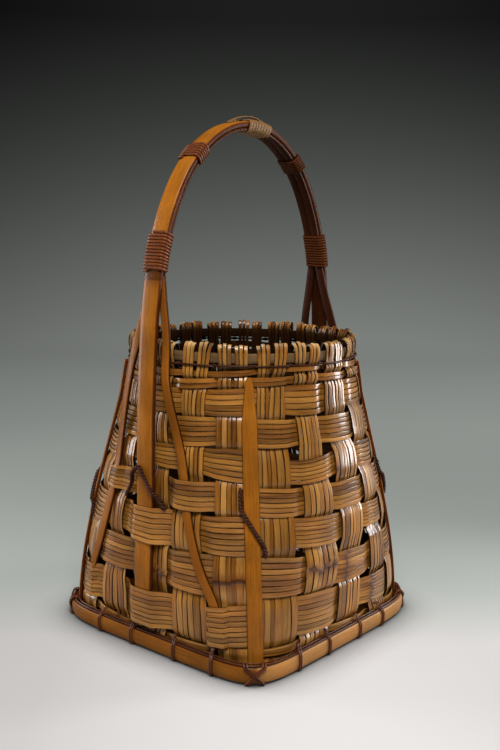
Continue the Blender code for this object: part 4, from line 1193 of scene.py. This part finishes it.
def rail_point(along, side, inset, height):
    """A point of the rail's plan, whose front and back corners are sharper than the other two."""
    turn = np.arctan(along)
    ease = eased(np.clip((np.asarray(along) + 1) / 2, 0, 1))
    power = RAIL_SQUARENESS[side % 2] * (1 - ease) + RAIL_SQUARENESS[(side + 1) % 2] * ease
    round_off = (np.cos(turn) ** power + np.abs(np.sin(turn)) ** power) ** (1 / power)
    radius = (RAIL_HALF - inset) / round_off
    angle = turn + (side - 1) * pi / 2
    height = np.broadcast_to(height, np.shape(radius))
    return np.stack([radius * np.cos(angle), radius * np.sin(angle), height], -1)


def rail_route(inset, height):
    """Points all round at one height, and the level directions out from them."""
    corner = np.linspace(0.7, 1, 12)
    stops = np.concatenate([-corner[::-1], np.linspace(-0.66, 0.66, 13), corner[:-1]])
    route = np.vstack([rail_point(stops, side, inset, height) for side in range(4)])
    ahead = headings(route, True)
    return route, np.stack([ahead[:, 1], -ahead[:, 0], np.zeros(len(route))], -1)


def make_rail():
    piece = Piece()
    route, outs = rail_route(RAIL_THICK / 2, RAIL_LIFT + RAIL_HEIGHT / 2)
    section = bar_section(RAIL_HEIGHT, RAIL_THICK, 1.1 * MM, 0.7 * MM)
    # Painted shade on the rail's face towards -X, and painted light on its face towards -Y
    shade = np.where(outs[:, 0] < -0.7, 0.3, np.where(outs[:, 1] < -0.7, -0.22, 0.0))
    piece.strand(route, outs, section, RAIL_HEIGHT, RAIL_THICK, tint=0.6, closed=True, shade=shade)
    piece.make("foot_rail_strip", post_finish, "foot_rail")


def rail_tie(piece, side, along, shift, seed):
    """A strand from the wall over the filler cane, down the rail's face, under it and up behind."""
    gap = TIE_THICK / 2 + 0.1 * MM
    top = RAIL_TOP
    bottom = RAIL_LIFT - gap
    back = RAIL_THICK + gap * 0.8
    lean = np.random.default_rng(seed).uniform(-0.8, 0.8) * MM
    rows = (
        (back + 1.6 * MM, top + 7.5 * MM, 2.0 * lean),
        (back - 1.0 * MM, top + 7.2 * MM, 1.7 * lean),
        (back - 2.2 * MM, top + 5.0 * MM, 1.2 * lean),
        (RAIL_THICK * 0.42, top + FILLER + gap + 0.3 * MM, 0.6 * lean),
        (0.8 * MM, top + gap + 0.9 * MM, 0.2 * lean),
        (-gap - 0.25 * MM, top - 1.6 * MM, 0.0),
        (-gap - 0.5 * MM, (top + bottom) / 2, 0.0),
        (-gap - 0.25 * MM, bottom + 2.2 * MM, 0.0),
        (0.7 * MM, bottom, 0.0),
        (RAIL_THICK * 0.5, bottom, 0.0),
        (RAIL_THICK - 0.7 * MM, bottom, 0.0),
        (back, bottom + 2.2 * MM, 0.0),
        (back, (top + bottom) / 2, 0.0),
    )
    points = []
    for inset, height, sideways in rows:
        points.append(rail_point(along + (shift + sideways) / RAIL_HALF, side, inset, height))
    points = smooth_curve(points, 4)
    centre = rail_point(along, side, RAIL_THICK / 2, RAIL_LIFT + RAIL_HEIGHT / 2)
    piece.strand(points, unit(points - centre), round_section(7), TIE, TIE_THICK)


def rail_knot(piece, side, along):
    """A short turn across a tie's strands where they come over the filler cane."""
    top = RAIL_TOP + FILLER
    rows = ((-2.7, 3.0, 0.2), (-2.0, 2.2, 1.6), (0, 1.4, 2.6), (2.0, 2.2, 1.5), (2.7, 3.0, 0.0))
    points = [
        rail_point(along + sideways * MM / RAIL_HALF, side, inset * MM, top + rise * MM)
        for sideways, inset, rise in rows
    ]
    points = smooth_curve(points, 4)
    outs = np.tile(plan_out((side + (along + 1) / 2) * PER_SIDE, 0.02), (len(points), 1))
    piece.strand(points, outs, round_section(7), 1.8 * MM, 1.8 * MM)


def make_lashing():
    piece = Piece()
    for side in range(4):
        for k, along in enumerate(TIE_SHARES[side]):
            seed = 300 + 10 * side + k
            rail_tie(piece, side, along, -0.52 * TIE, seed)
            rail_tie(piece, side, along, 0.52 * TIE, seed + 5)
            rail_knot(piece, side, along)
    filler = (RAIL_THICK * 0.45, RAIL_TOP + FILLER / 2 + 0.1 * MM, FILLER)
    behind = (RAIL_THICK + 0.2 * MM, RAIL_TOP + 1.6 * MM, BACK_CANE)
    for inset, height, d in (filler, behind):
        route, outs = rail_route(inset, height)
        piece.strand(route, outs, round_section(7), d, d, closed=True)
    piece.make("rail_ties", tie_finish, "rail_lashing", sharp=80)


def make_binding(corner):
    """Strands that cross over the rail's corner and run round the rail on either side."""
    piece = Piece()
    out = plan_out(corner * PER_SIDE, 0.0)
    across = np.array((-out[1], out[0], 0))
    spread = BINDING_SPREADS[corner % 2]
    tip = rail_point(-1.0, corner, 0, 0) @ out
    inner = rail_point(-1.0, corner, RAIL_THICK, 0) @ out
    beside = rail_point(-1 + spread * sqrt(2) / RAIL_HALF, corner, 0, 0) @ out
    halfway = (tip + beside) / 2
    back = inner - (tip - beside)
    d = TIE
    low, high = RAIL_LIFT - d / 2 - 0.1 * MM, RAIL_TOP + FILLER + 0.4 * MM
    middle = (low + high) / 2
    centre = out * (tip + inner) / 2 + np.array((0, 0, middle))
    for shift in (-0.55 * TIE, 0.55 * TIE):
        for sign, over in ((-1, 2.3 * MM), (1, 1.1 * MM)):
            rows = (
                (1.0, back - d, high - 3 * MM),
                (1.0, back + 1.2 * MM, high + 0.3 * MM),
                (0.98, beside - 0.8 * MM, high),
                (0.9, beside + 1.1 * MM, high - 2.4 * MM),
                (0.45, halfway + 1.2 * MM, middle + 3.4 * MM),
                (0.0, tip + over, middle),
                (-0.38, halfway + 1.6 * MM, middle - 3.4 * MM),
                (-0.7, beside + 1.6 * MM, low + 2.0 * MM),
                (-0.8, beside - 0.2 * MM, low),
                (-1.0, back + 1.2 * MM, low),
                (-1.0, back - d, low + 3 * MM),
                (-1.0, back - d, middle + 2 * MM),
            )
            points = [across * (sign * spread * s + shift) + out * depth + (0, 0, h) for s, depth, h in rows]
            points = smooth_curve(points, 4)
            points[:, 2] = np.maximum(points[:, 2], d / 2 + 0.02 * MM)
            piece.strand(points, unit(points - centre), round_section(7), d, d)
    name = CORNERS[corner]
    piece.make(f"rail_corner_{name}", tie_finish, f"corner_binding_{name}", sharp=80)


# Handle


def out_of(ahead):
    return np.cross(ahead, np.array((0, 1.0, 0)))


HANDLE_LINE = handle_route(24)
HANDLE_AHEAD = headings(HANDLE_LINE)
HANDLE_RUN = distances(HANDLE_LINE)


def on_handle(at):
    """Points of the handle's outer face and the directions out from them, at distances along it."""
    point, ahead = (
        np.stack([np.interp(at, HANDLE_RUN, rows[:, j]) for j in range(3)], -1)
        for rows in (HANDLE_LINE, HANDLE_AHEAD)
    )
    return point, out_of(unit(ahead))


def make_handle():
    piece = Piece()
    outs = out_of(HANDLE_AHEAD)
    points = HANDLE_LINE - outs * HANDLE_THICK / 2
    section = bar_section(HANDLE_WIDTH, HANDLE_THICK, 1.5 * MM, 0.5 * MM)
    aside = np.abs(points[:, 2] - STAIN_HEIGHT)
    stain = np.where(points[:, 0] < 0, 1.3 * MM + np.maximum(aside - 3.5 * MM, 0), 1.0)
    # Painted shade on the arch's right half
    shade = np.interp(points[:, 0], SHADE_FROM, (0, 0.55))
    piece.strand(points, outs, section, HANDLE_WIDTH, HANDLE_THICK, tint=0.5, marks=stain, shade=shade)
    piece.make("handle_strip_main", post_finish, "handle_main_strip")


def foot_points(foot, face):
    centre = face * PER_SIDE + PER_SIDE / 2
    rows = []
    for place, share, stand in foot:
        point = wall(centre + place, share * MOUTH, stand * STAND_OFF)
        rows.append(np.concatenate([point, plan_out(centre + place, share * MOUTH)]))
    return rows


def rise_points(rises, face):
    sign = 1 if face == 1 else -1
    rows = []
    for share, sideways, deeper in rises:
        height = MOUTH + (STRIP_JOIN - MOUTH) * share
        out = leg_face(height) - STRIP_DEPTH - deeper * STAND_OFF
        rows.append(np.array((sign * out, sign * sideways * HANDLE_WIDTH, height, sign, 0, 0)))
    return rows


def make_strip(side):
    """A thin strip that splays out over the wall at both ends and runs under the handle between."""
    piece = Piece()
    feet = ((WIDE_FOOT, WIDE_RISE), (NARROW_FOOT, NARROW_RISE))
    start, end = (
        foot_points(foot, face) + rise_points(rises, face)
        for (foot, rises), face in ((feet[side], 3), (feet[1 - side], 1))
    )
    route = handle_route(2)
    outs = out_of(headings(route))
    shifted = route - outs * STRIP_DEPTH + (0, (STRIP_SPACING, -STRIP_SPACING)[side], 0)
    bundle = list(np.hstack([shifted, outs])[route[:, 2] > STRIP_JOIN])
    curve = smooth_curve(start + bundle + end[::-1], 4)
    section = bar_section(STRIP_FULL_WIDTH, STRIP_THICK, 0.6 * MM, 0.2 * MM)
    widened = np.interp(curve[:, 2], (0.22, STRIP_JOIN), (1.15, 1.0))
    width = STRIP_FULL_WIDTH * np.where((curve[:, 0] < 0) == (side == 0), widened, 1.0)
    # Painted shade on the strips' right legs above the mouth
    shade = np.interp(curve[:, 0], SHADE_FROM, (0, 0.5)) * (curve[:, 2] > MOUTH)
    points, outs = curve[:, :3], unit(curve[:, 3:])
    piece.strand(points, outs, section, width, STRIP_THICK, tint=0.4 + 0.2 * side, shade=shade)
    letter = "ab"[side]
    piece.make(f"handle_thin_strip_{letter}", thin_finish, f"handle_strip_{letter}")


def winding(piece, centre, pitch, turns, section, width, thick, reach, shade=0.0):
    """A strand wound round the main strip and the two thin ones under it."""
    half, ease = HANDLE_WIDTH / 2, 1.2 * MM
    inner_half = STRIP_SPACING + STRIP_WIDTH / 2
    depth = STRIP_DEPTH + STRIP_THICK / 2
    right = (
        (half * 0.5, reach + 0.45 * MM),
        (half - ease * 0.3, reach),
        (half + reach, -ease * 0.6),
        (half + reach, -HANDLE_THICK * 0.75),
        (half + reach * 0.5, -HANDLE_THICK - reach * 0.9),
        (inner_half + reach / 2, -depth - reach * 0.6),
        (inner_half * 0.6, -depth - reach),
    )
    outline = np.array(right + tuple((-x, y) for x, y in reversed(right)))
    dense = smooth_curve(np.vstack([outline[-2:], outline, outline[:2]]), 3)[6:-6]
    per_turn = len(dense) - 1
    k = np.arange(turns * per_turn + 1)
    point, out = on_handle(centre + pitch * (k / per_turn - turns / 2))
    spots = dense[k % per_turn]
    points = point + np.array((0, 1.0, 0)) * spots[:, :1] + out * spots[:, 1:]
    middle = point - out * depth / 2
    piece.strand(points, unit(points - middle), section, width, thick, shade=shade)


def make_wraps():
    rising = HANDLE_LINE[: len(HANDLE_LINE) // 2, 2]
    total = HANDLE_RUN[-1]
    reach = WRAP / 2 + 0.05 * MM
    for label, share, turns in (("long", 0.751, 12), ("short", 0.935, 6)):
        left = HANDLE_RUN[np.argmin(np.abs(rising - share * ARCH))]
        # Painted shade on the wraps, slight on the left leg and heavy on the right
        for side, centre, shade in (("left", left, 0.12), ("right", total - left, 0.66)):
            piece = Piece()
            winding(piece, centre, WRAP_PITCH, turns, round_section(8), WRAP_WIDTH, WRAP, reach, shade)
            name = f"{label}_{side}"
            piece.make(f"rattan_{name}", rattan_finish, f"handle_wrap_{name}", sharp=80)


def make_top_wrap():
    piece = Piece()
    section = bar_section(APEX_CANE, APEX_THICK, 0.45 * MM, 0.15 * MM)
    centre = HANDLE_RUN[-1] / 2 - 4 * MM + APEX_PITCH * 3
    winding(piece, centre, APEX_PITCH, APEX_TURNS, section, APEX_CANE, APEX_THICK, 0.8 * MM)
    piece.make("cane_top_winding", pale_finish, "handle_wrap_top")


def make_slip():
    """A slip of cane that bows over the top winding."""
    piece = Piece()
    share = np.linspace(0, 1, 30)
    point, out = on_handle(HANDLE_RUN[-1] / 2 + SLIP_START + SLIP_LENGTH * share)
    points = point + out * (0.9 * MM + SLIP_RISE * np.sin(pi * share))[:, None]
    section = bar_section(SLIP, SLIP_THICK, 0.35 * MM, 0.1 * MM)
    piece.strand(points, out, section, SLIP, SLIP_THICK, tint=0.6)
    piece.make("cane_top_slip", pale_finish, "handle_top_slip")


# Dark cords


def rope(piece, points):
    """A laid cord: two strands twisted about a line."""
    line = smooth_curve(points, 14)
    ahead = headings(line)
    along = distances(line)
    side = unit(np.cross(ahead, unit(line * (1, 1, 0))))
    out = np.cross(side, ahead)
    for k in range(2):
        turn = 2 * pi * (along * ROPE_TURNS + k / 2)
        ring = (side * np.cos(turn)[:, None] + out * np.sin(turn)[:, None]) * ROPE * 0.26
        piece.strand(line + ring, unit(ring), round_section(8), ROPE * 0.52, ROPE * 0.52)


def make_post_tie(corner):
    """A cord that comes out beside the post, crosses it aslant and goes in on its other side."""
    piece = Piece()
    reach = ROPE / 2 + SEAT
    first = corner * PER_SIDE
    tails = [wall(first + p, s * MOUTH, SKIN + o * reach) for p, s, o in TIE_IN + TIE_OUT]
    face = SKIN + SEAT + POST_THICK
    half = POST_WIDTH / 2
    low, side, top = face - 0.6 * MM, face + reach * 0.8, face + reach + 0.2 * MM
    over = ((-half - reach, low), (-half, side), (0, top), (half, side), (half + reach, low))
    start, end = TIE_SLOPE
    crossing = []
    for aside, out in over:
        height = (start + (end - start) * (aside / (half + reach) + 1) / 2) * MOUTH
        crossing.append(post_point(corner, aside, height, out))
    rope(piece, tails[:3] + crossing + tails[3:])
    name = CORNERS[corner]
    piece.make(f"cord_post_{name}", cord_finish, f"post_tie_{name}", sharp=80)


def make_leg_tie(face):
    """A cord slung over a leg of the handle, with both ends going into the wall."""
    piece = Piece()
    reach = ROPE / 2 + SEAT
    centre = face * PER_SIDE + PER_SIDE / 2
    low = SKIN + reach
    points = [wall(centre - 0.65, 0.532 * MOUTH, SKIN - reach)]
    for place, share, rise in LEG_TIE:
        height = share * MOUTH
        leg = leg_face(height) - half_width(height) + reach
        points.append(wall(centre + place, height, low + (leg - low) * rise))
    points.append(wall(centre + 0.46, 0.52 * MOUTH, SKIN - reach))
    rope(piece, points)
    name = ("right", "left")[face // 2]
    piece.make(f"cord_leg_{name}", cord_finish, f"leg_tie_{name}", sharp=80)


# Water tube


def make_tube():
    """A length of culm with a ridge at its joint, an eased mouth and a floor inside."""
    low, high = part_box("water_tube")
    bottom, top = low.z, high.z
    joint = bottom + TUBE_JOINT_SHARE * (top - bottom)
    ease, lip = 1.2 * MM, 0.8 * MM
    profile = [(TUBE_RADIUS - ease, bottom), (TUBE_RADIUS, bottom + ease)]
    profile += [(TUBE_RADIUS + out * MM, joint + above * MM) for above, out in TUBE_RIDGE]
    profile += [(TUBE_RADIUS, top - ease), (TUBE_RADIUS - ease, top)]
    profile += [(TUBE_BORE + lip, top), (TUBE_BORE, top - lip), (TUBE_BORE, bottom + 50 * MM)]
    profile += [(TUBE_BORE, bottom + 7.5 * MM), (TUBE_BORE - 1.5 * MM, bottom + 6 * MM)]
    radius, height = np.array(profile).T[..., None]
    rows, sides = len(profile), 64
    turn = 2 * pi * np.arange(sides) / sides
    rings = np.stack(np.broadcast_arrays(radius * np.cos(turn), radius * np.sin(turn), height), -1)
    grain = np.full((rows, sides, 3), 0.4)
    grain[..., 0] = height
    grain[..., 1] = np.abs(np.arange(sides) - sides / 2) / (sides / 2) * 2 - 1
    marks = np.ones((rows, sides, 3))
    marks[..., 0] = np.abs(height - joint)
    caps = [np.arange(sides)[::-1][None], np.arange((rows - 1) * sides, rows * sides)[None]]
    piece = Piece()
    piece.add(rings, [ring_faces(rows, sides), *caps], grain, marks, np.zeros(rows * sides))
    piece.make("tube_culm", tube_finish, "water_tube", body="tube")


# Studio


def bulge(n, value, reach, height):
    """A hump over 0 that falls to nothing at reach on either side."""
    share = n.math("DIVIDE", value, reach)
    return n.times(n.less(1.0, n.times(share, share), clamp=True), height)


def make_paper():
    """Paper with painted light: paler near the camera, a painted pool of light, darker up the wall, and a
    painted shadow right under the basket.
    """
    n = Nodes("studio_paper")
    x, y, z = n.split(n.add("ShaderNodeNewGeometry").outputs["Position"])
    flat = n.math("SQRT", n.plus(n.times(x, x), n.times(y, y)))
    ahead = n.plus(n.times(x, sin(VIEW_YAW)), n.times(y, cos(VIEW_YAW)))
    aside = n.less(n.times(x, cos(VIEW_YAW)), n.times(y, sin(VIEW_YAW)))
    close, far = n.span(flat, 0.35, 0.9, 1.0, 0.0), n.span(flat, 0.35, 0.9, 0.0, 1.0)
    away = n.plus(n.times(close, ahead), n.times(far, flat))

    # Levels of the floor and of the wall
    near = n.math("POWER", n.span(away, -0.08, 0.4, 1.0, 0.0), 2.0)
    floor_level = n.plus(n.span(away, 0.2, 2.1, *FLOOR_LEVELS), n.times(near, NEAR_LIFT))
    wall_level = n.plus(n.span(z, 0.0, WALL_REACH, *WALL_LEVELS), bulge(n, aside, 0.93, GLOW))
    upright = n.span(flat, 1.8, 2.2, 0.0, 1.0)
    level = n.plus(n.times(floor_level, n.less(1.0, upright)), n.times(wall_level, upright))

    # Level to light, with a tint, a painted slant of light from side to side and the painted pool of light in
    # front of the basket
    strength = n.math("POWER", n.math("DIVIDE", n.plus(level, 0.055), 1.055), 2.4)
    tone = n.scale(n.mix(n.span(level, 0.7, 0.8, 0.0, 1.0), GREEN_TINT, WARM_TINT), strength)
    slant = n.plus(n.span(away, -0.05, 0.3, 0.45, -0.3), n.span(away, 0.35, 1.0, 0.0, 0.5))
    tone = n.scale(tone, n.plus(n.times(slant, aside), 1.0))
    pool = n.times(bulge(n, n.less(aside, 0.03), 0.19, POOL), n.span(away, -0.14, 0.0, 1.0, 0.0))
    tone = n.scale(tone, n.plus(pool, 1.0))

    # Painted shadow right under the basket, darkest where the occlusion round it is closest; near the basket
    # the paper is also lit by the lamps, so that it takes their shadows
    around = n.add("ShaderNodeAmbientOcclusion", samples=8)
    around.inputs["Distance"].default_value = 0.04
    tone = n.scale(tone, n.math("POWER", around.outputs["AO"], 1.5))
    n.shader.inputs["Roughness"].default_value = 0.9
    n.shader.inputs["Specular IOR Level"].default_value = 0.0
    n.join(n.scale(tone, PAPER_LIFT), n.shader.inputs["Base Color"])
    glow = n.add("ShaderNodeEmission")
    n.join(tone, glow.inputs["Color"])
    path = n.add("ShaderNodeLightPath")
    seen = n.times(path.outputs["Is Camera Ray"], n.span(flat, 0.38, 0.75, 1 - SHADOW_SHARE, 1.0))
    blend = n.add("ShaderNodeMixShader")
    n.feed_all(blend, blend.inputs, (seen, n.shader.outputs[0], glow.outputs[0]))
    n.join(blend.outputs[0], n.tree.nodes["Material Output"].inputs["Surface"])
    return n.finish


def make_stage():
    """A pale floor that rises into a darker wall all round."""
    profile = [(radius, 0.0) for radius in (0.5, 1.0, 1.5, FLOOR_REACH)]
    for step in range(1, 13):
        turn = step / 12 * pi / 2
        profile.append((FLOOR_REACH + CURVE * sin(turn), CURVE - CURVE * cos(turn)))
    profile.append((FLOOR_REACH + CURVE, WALL_TOP))
    turns = [2 * pi * k / STUDIO_SIDES for k in range(STUDIO_SIDES)]
    points = [(out * cos(turn), out * sin(turn), height) for out, height in profile for turn in turns]
    faces = [list(range(STUDIO_SIDES))]
    faces += [[a, d, c, b] for a, b, c, d in ring_faces(len(profile), STUDIO_SIDES).tolist()]
    mesh = bpy.data.meshes.new("studio")
    mesh.from_pydata(points, [], faces)
    mesh.shade_smooth()
    mesh.materials.append(make_paper())
    obj = bpy.data.objects.new("studio", mesh)
    bpy.context.scene.collection.objects.link(obj)


def add_light(name, location, size, power):
    data = bpy.data.lights.new(name, "AREA")
    data.shape = "RECTANGLE"
    data.size, data.size_y = size
    data.energy = power
    light = bpy.data.objects.new(name, data)
    light.location = location
    light.rotation_euler = (Vector(LIT_POINT) - Vector(location)).to_track_quat("-Z", "Y").to_euler()
    light.visible_camera = False
    bpy.context.scene.collection.objects.link(light)


def light_scene():
    world = bpy.data.worlds.new("studio_air")
    bpy.context.scene.world = world
    world.use_nodes = True
    background = world.node_tree.nodes["Background"]
    background.inputs["Color"].default_value = (1, 1, 1, 1)
    background.inputs["Strength"].default_value = 0.13
    add_light("left_soft_box", (-0.60, 1.37, 0.42), (0.55, 1.0), 17)
    add_light("right_soft_box", (1.04, -0.68, 0.38), (0.30, 0.80), 15)
    add_light("top_soft_box", (-0.72, -0.62, 1.55), (0.7, 0.7), 34)


def add_camera():
    """The camera that the photograph's proportions ask for."""
    focal_pixels, long_side = 978.58, 750
    yaw, pitch, roll = VIEW_YAW, 0.15233, 0.016289
    ahead = Vector((cos(pitch) * sin(yaw), cos(pitch) * cos(yaw), -sin(pitch)))
    right = Vector((cos(yaw), -sin(yaw), 0))
    up = right.cross(ahead)
    right = right * cos(roll) + up * sin(roll)
    up = right.cross(ahead)
    data = bpy.data.cameras.new("camera")
    data.sensor_fit = "AUTO"
    data.sensor_width = 36
    data.lens = focal_pixels * data.sensor_width / long_side
    data.clip_start = 0.05
    camera = bpy.data.objects.new("camera", data)
    matrix = Matrix((right, up, -ahead)).transposed().to_4x4()
    matrix.translation = (-0.71847, -0.60820, 0.38135)
    camera.matrix_world = matrix
    bpy.context.scene.collection.objects.link(camera)
    bpy.context.scene.camera = camera


def main():
    add_camera()
    for stake in range(STAKES):
        make_stake(stake)
    for row in range(1, 11):
        make_weft(row)
    make_hoop()
    make_twine(0)
    make_twine(1)
    make_mat()
    make_rail()
    make_lashing()
    for corner in range(4):
        make_post(corner)
        make_binding(corner)
        make_post_tie(corner)
    make_handle()
    make_strip(0)
    make_strip(1)
    make_wraps()
    make_top_wrap()
    make_slip()
    make_leg_tie(1)
    make_leg_tie(3)
    make_tube()
    make_stage()
    light_scene()
    bpy.context.scene.view_settings.view_transform = "Standard"


main()
